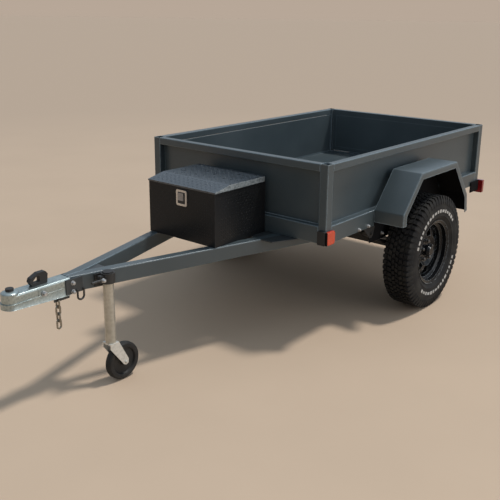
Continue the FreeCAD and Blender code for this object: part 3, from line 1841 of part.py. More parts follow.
def tailgate():
    half = "(" + HALF + " - post_side - gate_gap)"
    low = "(" + RAIL_TOP + " + gate_gap)"
    wide = "2 * " + half
    top = block("gate_top", REAR, "-" + half, "body_top - rail_side", "rail_side", wide, "rail_side")
    foot = block("gate_foot", REAR, "-" + half, low, "rail_side", wide, "gate_foot_high")
    skin = block(
        "gate_skin",
        REAR + " + panel_inset",
        "-" + half,
        low,
        "sheet_thick",
        wide,
        "body_top - " + low,
    )
    stiles = [
        block("gate_stile_%d" % k, REAR, y, low, "rail_side", "gate_stile", "body_top - " + low)
        for k, y in enumerate(("-" + half, half + " - gate_stile"))
    ]
    ears = []
    holes = []
    stud_y = "(" + HALF + " - post_side / 2)"
    ear_x = REAR + " - seat_gap - ear_thick"
    ear_z = "body_top - ear_below - ear_side / 2"
    ear_long = stud_y + " + ear_side / 2 - " + half + " + gate_stile"
    spots = (
        (half + " - gate_stile", half + " - gate_stile", stud_y),
        ("-(" + stud_y + " + ear_side / 2)", "-" + half, "-" + stud_y),
    )
    for k, (start, seat, hole) in enumerate(spots):
        ears.append(block("gate_ear_%d" % k, ear_x, start, ear_z, "ear_thick", ear_long, "ear_side"))
        ears.append(
            block("gate_ear_seat_%d" % k, ear_x, seat, ear_z, "ear_thick + seat_gap", "gate_stile", "ear_side")
        )
        hole_x = REAR + " - rail_side"
        holes.append(
            rod(
                "ear_hole_%d" % k,
                hole_x,
                hole,
                "body_top - ear_below",
                "stud_radius + ear_room",
                "1.5 * rail_side",
                "X",
            )
        )
    knuckles = []
    long = "(knuckle_long - hinge_gap)"
    for k, y in enumerate(HINGE_YS):
        for n, start in enumerate((y + " - 1.5 * knuckle_long", y + " + knuckle_long / 2 + hinge_gap")):
            name = "gate_knuckle_%d_%d" % (k, n)
            knuckles.append(rod(name, GATE_PIN_X, start, GATE_PIN_Z, KNUCKLE_RADIUS, long, "Y"))
            leaf_x = REAR + " - hinge_leaf_thick"
            knuckles.append(
                block(name + "_leaf", leaf_x, start, low + " + 1", "hinge_leaf_thick", long, "hinge_leaf_high")
            )
            web_long = KNUCKLE_RADIUS + " + hinge_gap"
            knuckles.append(
                block(name + "_web", GATE_PIN_X, start, GATE_PIN_Z, web_long, long, "gate_pin_radius")
            )
            bore = "gate_pin_radius + running_gap"
            holes.append(rod(name + "_bore", GATE_PIN_X, start + " - 1", GATE_PIN_Z, bore, long + " + 2", "Y"))
    return cut("tailgate", join("gate_whole", top, foot, skin, *stiles, *ears, *knuckles), *holes)


gate = node(tailgate(), "tailgate")


def gate_hinges():
    """Fixed half of each hinge, with its pin."""
    made = []
    leaf_x = REAR + " - hinge_leaf_thick - seat_gap"
    for k, y in enumerate(HINGE_YS):
        middle_y = y + " - knuckle_long / 2"
        middle = rod(
            "hinge_middle_%d" % k,
            GATE_PIN_X,
            middle_y,
            GATE_PIN_Z,
            KNUCKLE_RADIUS,
            "knuckle_long",
            "Y",
        )
        pin_y = y + " - 1.6 * knuckle_long"
        pin = rod(
            "hinge_pin_%d" % k,
            GATE_PIN_X,
            pin_y,
            GATE_PIN_Z,
            "gate_pin_radius",
            "3.2 * knuckle_long",
            "Y",
        )
        web = block(
            "hinge_web_%d" % k,
            GATE_PIN_X,
            middle_y,
            GATE_PIN_Z + " - 2 * knuckle_wall",
            KNUCKLE_RADIUS + " + hinge_gap - seat_gap",
            "knuckle_long",
            "2 * knuckle_wall",
        )
        plate = block(
            "hinge_leaf_%d" % k,
            leaf_x,
            y + " - 1.45 * knuckle_long",
            RAIL_TOP + " - 1.1 * knuckle_long",
            "hinge_leaf_thick",
            "2.9 * knuckle_long",
            "0.85 * knuckle_long",
        )
        neck = block(
            "hinge_neck_%d" % k,
            leaf_x,
            middle_y,
            RAIL_TOP + " - knuckle_long / 2",
            "hinge_leaf_thick",
            "knuckle_long",
            "knuckle_long / 2",
        )
        made.append(join("gate_hinge_%d" % k, middle, pin, web, plate, neck))
    return made


node(group("gate_hinges", *gate_hinges()), "gate_hinges")


def gate_studs():
    stud_y = HALF + " - post_side / 2"
    stud = rod(
        "gate_stud_left",
        REAR + " - stud_long",
        stud_y,
        "body_top - ear_below",
        "stud_radius",
        "stud_long",
        "X",
    )
    return group("gate_studs", stud, mirror("gate_stud_right", stud))


node(gate_studs(), "gate_studs")

doc.recompute()
faulty = [thing.Name for thing in doc.Objects if "Invalid" in thing.State or "Error" in thing.State]
for thing in nodes:
    if thing.Shape.isNull() or not thing.Shape.isValid():
        faulty.append(thing.Label)
if faulty:
    raise SystemExit("failed: " + ", ".join(faulty))
os.makedirs("parts", exist_ok=True)
for thing in nodes:
    thing.Shape.exportStep("parts/%s.step" % thing.Label)
    box = thing.Shape.BoundBox
    print(
        thing.Label,
        len(thing.Shape.Solids),
        [round(v) for v in (box.XMin, box.XMax, box.YMin, box.YMax, box.ZMin, box.ZMax)],
    )
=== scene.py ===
from math import cos, pi, radians, sin, tau

import bpy
from mathutils import Euler, Matrix, Vector


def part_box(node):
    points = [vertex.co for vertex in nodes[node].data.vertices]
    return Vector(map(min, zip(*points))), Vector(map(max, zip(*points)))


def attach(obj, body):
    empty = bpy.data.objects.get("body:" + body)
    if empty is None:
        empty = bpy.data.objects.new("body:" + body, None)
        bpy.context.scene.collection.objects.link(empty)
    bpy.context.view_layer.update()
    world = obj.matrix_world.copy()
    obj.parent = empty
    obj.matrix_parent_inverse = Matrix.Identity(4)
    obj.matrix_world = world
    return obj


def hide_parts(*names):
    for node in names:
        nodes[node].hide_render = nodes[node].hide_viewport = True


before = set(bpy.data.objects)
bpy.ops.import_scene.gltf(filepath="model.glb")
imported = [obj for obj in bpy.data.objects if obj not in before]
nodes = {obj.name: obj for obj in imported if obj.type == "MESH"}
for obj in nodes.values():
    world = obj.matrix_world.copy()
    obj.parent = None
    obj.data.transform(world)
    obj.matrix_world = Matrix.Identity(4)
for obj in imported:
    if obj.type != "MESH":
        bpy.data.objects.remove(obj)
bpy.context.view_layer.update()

bpy.ops.object.select_all(action="DESELECT")

# Camera and stage
viewValues = {
    "place": (3.156, 2.557, 1.670),
    "heading": -140.89,
    "tilt": -15.95,
    "roll": 0.75,
    "lens": 52.47,
    "shift": (-0.0148, -0.0582),
}


def setCamera():
    bpy.ops.object.camera_add(location=viewValues["place"])
    camera = bpy.context.object
    camera.name = "viewCamera"
    up, around = radians(90 + viewValues["tilt"]), radians(viewValues["heading"] - 90)
    turn = Euler((up, 0, around)).to_matrix().to_4x4() @ Matrix.Rotation(radians(viewValues["roll"]), 4, "Z")
    camera.matrix_world = Matrix.Translation(viewValues["place"]) @ turn
    camera.data.lens = viewValues["lens"]
    camera.data.sensor_width = 36
    camera.data.shift_x, camera.data.shift_y = viewValues["shift"]
    camera.data.clip_end = 200
    bpy.context.scene.camera = camera


setCamera()
bpy.context.scene.view_settings.view_transform = "Standard"
print("camera placed")


# Node helpers
def setInputs(tree, node, values):
    # Each input takes a value, or a link from another node's output
    for label, value in values.items():
        if isinstance(value, bpy.types.NodeSocket):
            tree.links.new(value, node.inputs[label])
        else:
            node.inputs[label].default_value = value
    return node


def addNode(tree, kind, values=()):
    return setInputs(tree, tree.nodes.new("ShaderNode" + kind), dict(values))


def workOut(tree, kind, operation, *values):
    node = addNode(tree, kind)
    node.operation = operation
    return setInputs(tree, node, dict(enumerate(values))).outputs["Value"]


def mixColours(tree, factor, first, second):
    mix = addNode(tree, "Mix")
    mix.data_type = "RGBA"
    first, second = (v + (1,) if isinstance(v, tuple) else v for v in (first, second))
    return setInputs(tree, mix, {0: factor, 6: first, 7: second}).outputs[2]


def rangeOf(tree, source, low, high, fromLow=0.3, fromHigh=0.7):
    ends = {"From Min": fromLow, "From Max": fromHigh, "To Min": low, "To Max": high}
    return addNode(tree, "MapRange", {"Value": source, **ends}).outputs["Result"]


def newGroup(name, inputs, outputs):
    # inputs holds each number taken and its usual value, outputs the kind of each socket given
    group = bpy.data.node_groups.new(name, "ShaderNodeTree")
    for label, value in inputs.items():
        socket = group.interface.new_socket(name=label, in_out="INPUT", socket_type="NodeSocketFloat")
        socket.default_value = value
    for label, kind in outputs.items():
        group.interface.new_socket(name=label, in_out="OUTPUT", socket_type="NodeSocket" + kind)
    return group, group.nodes.new("NodeGroupInput").outputs, group.nodes.new("NodeGroupOutput")


# Shared node groups
def buildPaintGrain():
    # Fine orange peel and a slow drift of tone, both on the object's own coordinates
    group, taken, given = newGroup(
        "paintGrain",
        {"Fine": 900.0, "Slow": 3.0, "Bump": 0.2},
        {"Tone": "Float", "Speck": "Float", "Normal": "Vector"},
    )
    place = addNode(group, "TexCoord").outputs["Object"]
    fine = addNode(group, "TexNoise", {"Vector": place, "Scale": taken["Fine"], "Detail": 2}).outputs["Fac"]
    slow = addNode(group, "TexNoise", {"Vector": place, "Scale": taken["Slow"], "Detail": 5}).outputs["Fac"]
    bump = addNode(group, "Bump", {"Height": fine, "Strength": taken["Bump"], "Distance": 0.0006})
    setInputs(group, given, {"Tone": slow, "Speck": fine, "Normal": bump.outputs["Normal"]})
    return group


def buildEdgeHighlight():
    # A painted highlight mask that is 1 along outer edges, broken up by noise
    group, taken, given = newGroup("edgeHighlight", {"Reach": 0.004, "Break": 0.35}, {"Mask": "Float"})
    rounded = addNode(group, "Bevel", {"Radius": taken["Reach"]})
    rounded.samples = 4
    flat = addNode(group, "NewGeometry").outputs["True Normal"]
    facing = workOut(group, "VectorMath", "DOT_PRODUCT", rounded.outputs["Normal"], flat)
    edge = rangeOf(group, facing, 0, 1, 0.995, 0.90)
    place = addNode(group, "TexCoord").outputs["Object"]
    patchy = addNode(group, "TexNoise", {"Vector": place, "Scale": 60, "Detail": 4}).outputs["Fac"]
    high = workOut(group, "Math", "ADD", taken["Break"], 0.25)
    gate = rangeOf(group, patchy, 0, 1, taken["Break"], high)
    setInputs(group, given, {"Mask": workOut(group, "Math", "MULTIPLY", edge, gate)})
    return group


def buildRoadDust():
    # Thin dust in clouds that gathers low on the trailer
    group, taken, given = newGroup("roadDust", {"Low": 0.15, "High": 0.7, "Amount": 0.3}, {"Mask": "Float"})
    place = addNode(group, "TexCoord").outputs["Object"]
    height = addNode(group, "SeparateXYZ", {"Vector": place}).outputs["Z"]
    fall = rangeOf(group, height, 1, 0, taken["Low"], taken["High"])
    cloud = addNode(group, "TexNoise", {"Vector": place, "Scale": 14, "Detail": 8, "Roughness": 0.65})
    thin = workOut(group, "Math", "MULTIPLY", fall, cloud.outputs["Fac"])
    setInputs(group, given, {"Mask": workOut(group, "Math", "MULTIPLY", thin, taken["Amount"])})
    return group


paintGrain = buildPaintGrain()
edgeHighlight = buildEdgeHighlight()
roadDust = buildRoadDust()


# Materials
def newMaterial(name):
    material = bpy.data.materials.new(name)
    material.use_nodes = True
    tree = material.node_tree
    return material, tree, tree.nodes["Principled BSDF"]


def placeGroup(tree, group, **values):
    node = tree.nodes.new("ShaderNodeGroup")
    node.node_tree = group
    return setInputs(tree, node, values).outputs


coatValues = {
    "fine": 900.0,
    "slow": 3.0,
    "bump": 0.2,
    "reach": 0.004,
    "breakUp": 0.35,
    "low": 0.15,
    "high": 0.7,
    "dusty": 0.25,
    "rub": 0.5,
    "rough": 0.4,
    "gloss": 0.5,
}


def coatedMetal(name, dark, light, edge, dust, **given):
    # Paint or powder coat: tone drift, a painted highlight in the edge colour along the edges, dust low down
    v = {**coatValues, **given}
    material, tree, shader = newMaterial(name)
    grain = placeGroup(tree, paintGrain, Fine=v["fine"], Slow=v["slow"], Bump=v["bump"])
    rub = placeGroup(tree, edgeHighlight, Reach=v["reach"], Break=v["breakUp"])["Mask"]
    film = placeGroup(tree, roadDust, Low=v["low"], High=v["high"], Amount=v["dusty"])["Mask"]
    colour = mixColours(tree, rangeOf(tree, grain["Tone"], 0, 1), dark, light)
    # The edge colour is mixed in along the edges as a painted highlight
    colour = mixColours(tree, rangeOf(tree, rub, 0, v["rub"], 0, 1), colour, edge)
    setInputs(tree, shader, {
        "Base Color": mixColours(tree, film, colour, dust),
        "Roughness": rangeOf(tree, grain["Tone"], v["rough"] - 0.06, v["rough"] + 0.08),
        "Normal": grain["Normal"],
        "Specular IOR Level": v["gloss"],
    })
    return material


zincValues = {
    "patch": 90.0,
    "fine": 500.0,
    "slow": 9.0,
    "bump": 0.25,
    "low": 0.05,
    "high": 0.6,
    "dusty": 0.3,
    "rough": 0.42,
    "metal": 0.85,
}


def zincMetal(name, dark, light, dust, **given):
    # Zinc plate: crystal patches, faint streaks
    v = {**zincValues, **given}
    material, tree, shader = newMaterial(name)
    place = addNode(tree, "TexCoord").outputs["Object"]
    patches = addNode(tree, "TexVoronoi", {"Vector": place, "Scale": v["patch"]}).outputs["Distance"]
    grain = placeGroup(tree, paintGrain, Fine=v["fine"], Slow=v["slow"], Bump=v["bump"])
    film = placeGroup(tree, roadDust, Low=v["low"], High=v["high"], Amount=v["dusty"])["Mask"]
    colour = mixColours(tree, rangeOf(tree, patches, 0, 1, 0.0, 0.7), dark, light)
    colour = mixColours(tree, rangeOf(tree, grain["Tone"], 0, 0.6), colour, dark)
    setInputs(tree, shader, {
        "Base Color": mixColours(tree, film, colour, dust),
        "Roughness": rangeOf(tree, grain["Tone"], v["rough"] - 0.08, v["rough"] + 0.1),
        "Normal": grain["Normal"],
        "Metallic": v["metal"],
    })
    return material


rubberValues = {
    "fine": 420.0,
    "slow": 12.0,
    "bump": 0.5,
    "dusty": 0.25,
    "rough": 0.75,
    "gloss": 0.35,
}


def rubberSkin(name, dark, light, dust, **given):
    # Rubber: a fine grain, and dust in its paler patches
    v = {**rubberValues, **given}
    material, tree, shader = newMaterial(name)
    grain = placeGroup(tree, paintGrain, Fine=v["fine"], Slow=v["slow"], Bump=v["bump"])
    colour = mixColours(tree, rangeOf(tree, grain["Tone"], 0, 1), dark, light)
    film = rangeOf(tree, grain["Tone"], 0, v["dusty"], 0.45, 0.75)
    setInputs(tree, shader, {
        "Base Color": mixColours(tree, film, colour, dust),
        "Roughness": rangeOf(tree, grain["Speck"], v["rough"] - 0.08, v["rough"] + 0.08),
        "Normal": grain["Normal"],
        "Specular IOR Level": v["gloss"],
    })
    return material


def lensPlastic(name, dark, light):
    # Moulded lens with fine ribs across its height
    material, tree, shader = newMaterial(name)
    place = addNode(tree, "TexCoord").outputs["Object"]
    wave = addNode(tree, "TexWave", {"Vector": place, "Scale": 60})
    wave.wave_type = "BANDS"
    wave.bands_direction = "Z"
    ribs = wave.outputs["Fac"]
    bump = addNode(tree, "Bump", {"Height": ribs, "Strength": 0.35, "Distance": 0.001})
    setInputs(tree, shader, {
        "Base Color": mixColours(tree, ribs, dark, light),
        "Normal": bump.outputs["Normal"],
        "Roughness": 0.18,
        "Coat Weight": 0.6,
        "Subsurface Weight": 0.15,
        "Subsurface Radius": (0.02, 0.008, 0.004),
    })
    return material


sand = (0.30, 0.25, 0.20)
# The edge colour of each coat is a painted highlight, laid along its edges
bodyPaint = coatedMetal(
    "bodyPaint", (0.052, 0.069, 0.077), (0.068, 0.088, 0.097), (0.42, 0.53, 0.60), sand,
    rough=0.34, dusty=0.08, reach=0.006, breakUp=0.2, rub=0.65,
)
# The body paint darkened, as painted shade, for plates that sit in shadow
shadedBodyPaint = coatedMetal(
    "shadedBodyPaint", (0.022, 0.028, 0.032), (0.034, 0.042, 0.047), (0.12, 0.14, 0.15), sand,
    rough=0.45,
)
blackSteel = coatedMetal(
    "blackSteel", (0.010, 0.011, 0.012), (0.020, 0.021, 0.022), (0.07, 0.07, 0.07), sand,
    rough=0.5,
)
boxBlack = coatedMetal(
    "boxBlack", (0.008, 0.009, 0.010), (0.013, 0.014, 0.016), (0.05, 0.06, 0.07), sand,
    rough=0.34, gloss=0.22, dusty=0.02,
)
# The lid's black, lighter and bluer than the box's as a painted sky reflection on its top
lidSkySheen = coatedMetal(
    "lidSkySheen", (0.020, 0.027, 0.035), (0.036, 0.047, 0.059), (0.20, 0.24, 0.28), sand,
    rough=0.30, gloss=0.8, dusty=0.02, slow=40.0,
)
# A pale coat for the lid's folded edge, a painted highlight along it
lidEdgeHighlight = coatedMetal(
    "lidEdgeHighlight", (0.10, 0.12, 0.13), (0.30, 0.34, 0.36), (0.42, 0.46, 0.48), sand,
    rough=0.42, dusty=0, slow=90.0, rub=0.9,
)
rimBlack = coatedMetal(
    "rimBlack", (0.005, 0.006, 0.007), (0.009, 0.010, 0.012), (0.26, 0.29, 0.31), sand,
    rough=0.22, gloss=0.22, dusty=0.01, reach=0.003, rub=0.9,
)
blackPlastic = coatedMetal(
    "blackPlastic", (0.010, 0.010, 0.011), (0.018, 0.018, 0.019), (0.03, 0.03, 0.03), sand,
    rough=0.55, dusty=0.1,
)
undersealBlack = coatedMetal(
    "undersealBlack", (0.005, 0.005, 0.006), (0.010, 0.010, 0.011), (0.02, 0.02, 0.02), sand,
    rough=0.85, gloss=0.08, dusty=0.03, fine=260.0, bump=0.6, rub=0.1,
)
zinc = zincMetal("zinc", (0.42, 0.43, 0.43), (0.62, 0.63, 0.64), sand)
coupleZinc = zincMetal(
    "coupleZinc", (0.27, 0.32, 0.32), (0.46, 0.52, 0.51), sand,
    rough=0.36, dusty=0.05, slow=16.0,
)
forkZinc = zincMetal(
    "forkZinc", (0.60, 0.60, 0.56), (0.80, 0.80, 0.76), sand,
    metal=0.5, dusty=0.1, rough=0.4,
)
chainZinc = zincMetal("chainZinc", (0.20, 0.18, 0.14), (0.40, 0.37, 0.31), sand, rough=0.4)
creamZinc = zincMetal("creamZinc", (0.44, 0.42, 0.36), (0.60, 0.58, 0.51), sand, metal=0.7, patch=60.0)
nutSteel = zincMetal("nutSteel", (0.10, 0.10, 0.10), (0.22, 0.22, 0.22), sand, rough=0.3, dusty=0.05)
latchGrey = zincMetal(
    "latchGrey", (0.26, 0.25, 0.25), (0.36, 0.35, 0.35), sand,
    rough=0.35, dusty=0.05, metal=0.6,
)
latchSteel = zincMetal("latchSteel", (0.50, 0.48, 0.46), (0.66, 0.64, 0.62), sand, rough=0.3, dusty=0.05)
tyreRubber = rubberSkin(
    "tyreRubber", (0.010, 0.010, 0.011), (0.018, 0.018, 0.018), (0.075, 0.070, 0.058),
    gloss=0.25,
)
wheelRubber = rubberSkin(
    "wheelRubber", (0.010, 0.010, 0.010), (0.020, 0.020, 0.020), (0.08, 0.07, 0.06),
    rough=0.6,
)
whiteRubber = rubberSkin(
    "whiteRubber", (0.36, 0.36, 0.34), (0.56, 0.55, 0.53), (0.26, 0.24, 0.20),
    rough=0.6, slow=30.0,
)
orangeLens = lensPlastic("orangeLens", (0.46, 0.022, 0.004), (0.70, 0.065, 0.010))
redLens = lensPlastic("redLens", (0.17, 0.006, 0.008), (0.33, 0.014, 0.016))

finishOf = {
    bodyPaint: """drawbar_left drawbar_right corner_posts chassis_rails_side chassis_rail_front
        chassis_rail_rear top_rails cross_members floor_sheet body_panels mudguard_left mudguard_right
        tailgate gate_hinges""",
    shadedBodyPaint: "coupling_bracket",
    zinc: "axle_clamps toolbox_hinges gate_studs",
    coupleZinc: "coupling_body",
    chainZinc: "safety_chain",
    creamZinc: "jockey_tube",
    forkZinc: "jockey_fork",
    blackPlastic: "coupling_cap coupling_handle jockey_cap marker_housings tail_housings",
    blackSteel: "chain_loop jockey_clamp leaf_springs spring_hangers axle_beam",
    boxBlack: "toolbox_body",
    lidSkySheen: "toolbox_lid",
    rimBlack: "rim_left rim_right hub_left hub_right",
    latchSteel: "toolbox_latch",
    tyreRubber: "tyre_left tyre_right",
    wheelRubber: "jockey_wheel",
    orangeLens: "marker_lenses",
    redLens: "tail_lenses",
}
for finish, names in finishOf.items():
    for name in names.split():
        nodes[name].data.materials.clear()
        nodes[name].data.materials.append(finish)
print("materials set")


# Modelling helpers, and the distance within which two places are the same
tiny = 0.0005


def pickOnly(piece):
    bpy.ops.object.select_all(action="DESELECT")
    piece.select_set(True)
    bpy.context.view_layer.objects.active = piece


def editMesh():
    bpy.ops.object.mode_set(mode="EDIT")


def closeMesh(turnOut=False):
    if turnOut:
        pickAll()
        bpy.ops.mesh.remove_doubles(threshold=0.00002)
        bpy.ops.mesh.normals_make_consistent(inside=False)
    bpy.ops.object.mode_set(mode="OBJECT")


def openMesh(piece, mode):
    pickOnly(piece)
    editMesh()
    bpy.ops.mesh.select_mode(type=mode)
    bpy.ops.mesh.select_all(action="DESELECT")


def pickAll():
    bpy.ops.mesh.select_all(action="SELECT")


def pickFaces(piece, wanted):
    # Selects the faces for which wanted(centre, normal) is true, and stays in edit mode
    closeMesh()
    for face in piece.data.polygons:
        face.select = bool(wanted(face.center, face.normal))
    editMesh()


def pickEdges(piece, wanted):
    # Selects the edges with both ends where wanted(place) is true, and stays in edit mode
    bpy.ops.mesh.select_all(action="DESELECT")
    closeMesh()
    points = piece.data.vertices
    for edge in piece.data.edges:
        edge.select = all(wanted(points[k].co) for k in edge.vertices)
    editMesh()


def pickPoints(piece, wanted):
    bpy.ops.mesh.select_mode(type="VERT")
    bpy.ops.mesh.select_all(action="DESELECT")
    closeMesh()
    for point in piece.data.vertices:
        point.select = bool(wanted(point.co))
    editMesh()


def extrude(along):
    bpy.ops.mesh.extrude_region_move(TRANSFORM_OT_translate={"value": along})


def slide(along):
    bpy.ops.transform.translate(value=along)


def grow(factors, about=(0, 0, 0)):
    bpy.ops.transform.resize(value=factors, center_override=about)


def settle(piece):
    # Puts the piece's place and turn into its mesh
    pickOnly(piece)
    bpy.ops.object.transform_apply(location=True, rotation=True, scale=True)


def putAt(piece, place, turn=(0, 0, 0)):
    piece.location = place
    piece.rotation_euler = [radians(v) for v in turn]
    settle(piece)
    return piece


def addBlock(place, size, turn=(0, 0, 0)):
    bpy.ops.mesh.primitive_cube_add(size=1, location=place, scale=size, rotation=[radians(v) for v in turn])
    block = bpy.context.object
    settle(block)
    return block


def addPanel(place, size, side, rim, rise):
    # A block whose face on one side keeps a rim of this width, with the rest raised or sunk
    panel = addBlock(place, size)
    openMesh(panel, "FACE")
    pickFaces(panel, lambda centre, normal: normal.dot(side) > 0.9)
    bpy.ops.mesh.inset(thickness=rim)
    slide(side * rise)
    closeMesh()
    return panel


def addRod(radius, depth, sides=24, ends="NGON"):
    bpy.ops.mesh.primitive_cylinder_add(vertices=sides, radius=radius, depth=depth, end_fill_type=ends)
    return bpy.context.object


def applyLast(piece):
    bpy.context.view_layer.objects.active = piece
    bpy.ops.object.modifier_apply(modifier=piece.modifiers[-1].name)


def roundEdges(piece, width, segments=2, angle=35):
    bevel = piece.modifiers.new("edge", "BEVEL")
    bevel.width = width
    bevel.segments = segments
    bevel.limit_method = "ANGLE"
    bevel.angle_limit = radians(angle)
    applyLast(piece)


def repeat(piece, count, step):
    row = piece.modifiers.new("row", "ARRAY")
    row.count = count
    row.use_relative_offset = False
    row.use_constant_offset = True
    row.constant_offset_displace = step
    applyLast(piece)


def sheeted(piece, thick):
    # Gives a folded surface its thickness, inwards
    wall = piece.modifiers.new("sheet", "SOLIDIFY")
    wall.thickness = thick
    wall.offset = -1
    applyLast(piece)


def smooth(piece, angle):
    pickOnly(piece)
    bpy.ops.object.shade_smooth_by_angle(angle=radians(angle))


def copyOf(piece, name):
    twin = piece.copy()
    twin.data = piece.data.copy()
    twin.name = name
    bpy.context.collection.objects.link(twin)
    return twin


def joined(pieces, name):
    pickOnly(pieces[0])
    for piece in pieces:
        piece.select_set(True)
    if len(pieces) > 1:
        bpy.ops.object.join()
    pieces[0].name = name
    return pieces[0]


def dress(piece, name, finish, body):
    # Every piece ends here: its name, finish and body
    settle(piece)
    piece.name = name
    piece.data.materials.clear()
    piece.data.materials.append(finish)
    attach(piece, body)
    return piece


def mirrored(piece, name):
    # A copy on the trailer's other side, with its faces turned out again
    twin = copyOf(piece, name)
    twin.parent = None
    twin.matrix_world = Matrix.Identity(4)
    openMesh(twin, "FACE")
    pickAll()
    grow((1, -1, 1))
    bpy.ops.mesh.normals_make_consistent(inside=False)
    closeMesh()
    return twin


def middleOf(name):
    low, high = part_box(name)
    return (low + high) / 2, high - low


# Tyres: a carcass pulled out ring by ring, blocks spun round it for the tread, plain pale blocks on the side
tyreValues = {
    "rings": 96,
    "crown": (0.065, 0.3250),
    # Half width and radius of each ring down the side, then half width and radius beyond the rim's
    "upperSide": (
        (0.0745, 0.3205), (0.0800, 0.3125), (0.0832, 0.3030), (0.0850, 0.2900), (0.0865, 0.2830),
        (0.0856, 0.2812), (0.0878, 0.2700), (0.0880, 0.2500), (0.0872, 0.2330), (0.0855, 0.2210),
        (0.0862, 0.2190), (0.0858, 0.2165), (0.0838, 0.2145),
    ),
    "bead": (
        (0.0800, 0.0140), (0.0745, 0.0060), (0.0715, 0.0012), (0.0660, -0.0070), (0.0640, -0.0128),
        (0.0450, -0.0128),
    ),
    "pairs": 31,
    "blockFoot": 0.3232,
    "blockTop": 0.3344,
    "blockTaper": (0.88, 0.9),
    # Blocks: distance from the middle, half width, half length, slant
    "middle": (0.0105, 0.0092, 0.0125, 0.007),
    "between": (0.0345, 0.0115, 0.0125, -0.008),
    # Shoulder blocks: inner and outer edge, half length, and how each step falls down the side
    "shoulder": ((0.0500, 0.0765, 0.0125), (0.0525, 0.0765, 0.0110)),
    "shoulderSlant": 0.004,
    "shoulderFall": ((-0.0115, 0.0050), (-0.0180, 0.0052), (-0.0120, 0.0020)),
    "fallTaper": (0.85, 0.86),
    "fallFoot": 0.300,
    # How far along the pitch the middle, between and shoulder blocks stand apart on the two sides
    "stagger": (0.13, 0.1, 0.18),
    "markRadius": 0.2470,
    "markHigh": 0.0195,
    "markThick": 0.0026,
    "markRound": 0.0005,
    "markAt": 0.0874,
    "markWides": (0.019, 0.024, 0.016, 0.022, 0.026, 0.017, 0.021),
    "markHighs": (1.0, 0.8, 1.0, 0.7, 0.95),
    "markGap": 0.0120,
    "markArcs": ((-74, 54), (108, 216)),
}


def tyreCarcass(rimRadius):
    height, radius = tyreValues["crown"]
    carcass = addRod(radius, 2 * height, tyreValues["rings"], "NOTHING")
    side = tyreValues["upperSide"] + tuple((a, rimRadius + b) for a, b in tyreValues["bead"])
    for way in (1, -1):
        lastHeight, lastRadius = height, radius
        openMesh(carcass, "EDGE")
        pickEdges(carcass, lambda co: co.z * way > height - tiny)
        for nextHeight, nextRadius in side:
            extrude((0, 0, way * (nextHeight - lastHeight)))
            scale = nextRadius / lastRadius
            grow((scale, scale, 1))
            lastHeight, lastRadius = nextHeight, nextRadius
        closeMesh()
    openMesh(carcass, "EDGE")
    bpy.ops.mesh.select_non_manifold(extend=False)
    bpy.ops.mesh.bridge_edge_loops()
    closeMesh(turnOut=True)
    return carcass


def treadBlock(middle, half, halfLong, slant):
    # One block on the crown at the +X side of a tyre whose axis is Z
    foot, top = tyreValues["blockFoot"], tyreValues["blockTop"]
    block = addBlock(((foot + top) / 2, 0, middle), (top - foot, 2 * halfLong, 2 * half))
    openMesh(block, "FACE")
    pickFaces(block, lambda centre, normal: normal.z > 0.9)
    slide((0, slant, 0))
    pickFaces(block, lambda centre, normal: normal.x > 0.9)
    grow((1, *tyreValues["blockTaper"]), (top, slant / 2, middle))
    closeMesh()
    return block


def shoulderBlock(inner, outer, halfLong):
    # A block at the tread's edge that folds down over the shoulder
    slant, pivot = tyreValues["shoulderSlant"], tyreValues["fallFoot"]
    block = treadBlock((inner + outer) / 2, (outer - inner) / 2, halfLong, slant)
    openMesh(block, "FACE")
    pickFaces(block, lambda centre, normal: normal.z > 0.5)
    for inward, outward in tyreValues["shoulderFall"]:
        extrude((inward, 0, outward))
        grow((*tyreValues["fallTaper"], 1), (pivot, slant, outer))
    closeMesh()
    return block


def roundTyre(block, degrees, turned=False):
    # Sets a block round the tyre, on the far shoulder if it is turned over
    if turned:
        openMesh(block, "FACE")
        pickAll()
        grow((1, 1, -1))
        bpy.ops.mesh.normals_make_consistent(inside=False)
        closeMesh()
    return putAt(block, (0, 0, 0), (0, 0, degrees))


def tyreTread():
    # Two steps of the pattern, then spun round the tyre
    v = tyreValues
    pairs = v["pairs"]
    pitch = 360 / pairs / 2
    middle, half, halfLong, slant = v["middle"]
    nearMiddle, nearBetween, nearShoulder = v["stagger"]
    blocks = []
    for step in (0, 1):
        at = pitch * step
        for way in (1, -1):
            block = treadBlock(way * middle, half, halfLong, way * slant)
            blocks.append(roundTyre(block, at + way * pitch * nearMiddle))
            block = treadBlock(*v["between"])
            blocks.append(roundTyre(block, at + pitch * (0.5 + way * nearBetween), way < 0))
            block = shoulderBlock(*v["shoulder"][step])
            blocks.append(roundTyre(block, at + pitch * (0.25 + way * nearShoulder), way < 0))
    tread = joined(blocks, "treadPair")
    openMesh(tread, "VERT")
    pickAll()
    turn = tau * (pairs - 1) / pairs
    bpy.ops.mesh.spin(dupli=True, steps=pairs - 1, angle=turn, center=(0, 0, 0), axis=(0, 0, 1))
    closeMesh()
    return tread


def sideMarks(place):
    # Plain raised blocks in two arcs, where such tyres have their moulded marks
    v, marks = tyreValues, []
    for start, stop in v["markArcs"]:
        reach, count = radians(start) * v["markRadius"], 0
        while reach < radians(stop) * v["markRadius"]:
            wide = v["markWides"][count % len(v["markWides"])]
            turn = (reach + wide / 2) / v["markRadius"]
            spot = place + Vector((-v["markRadius"] * sin(turn), v["markAt"], v["markRadius"] * cos(turn)))
            high = v["markHigh"] * v["markHighs"][count % len(v["markHighs"])]
            mark = addBlock(spot, (wide, v["markThick"], high), (0, -turn * 180 / pi, 0))
            roundEdges(mark, v["markRound"], 1)
            marks.append(mark)
            reach += wide + v["markGap"]
            count += 1
    return joined(marks, "tyreMarks")


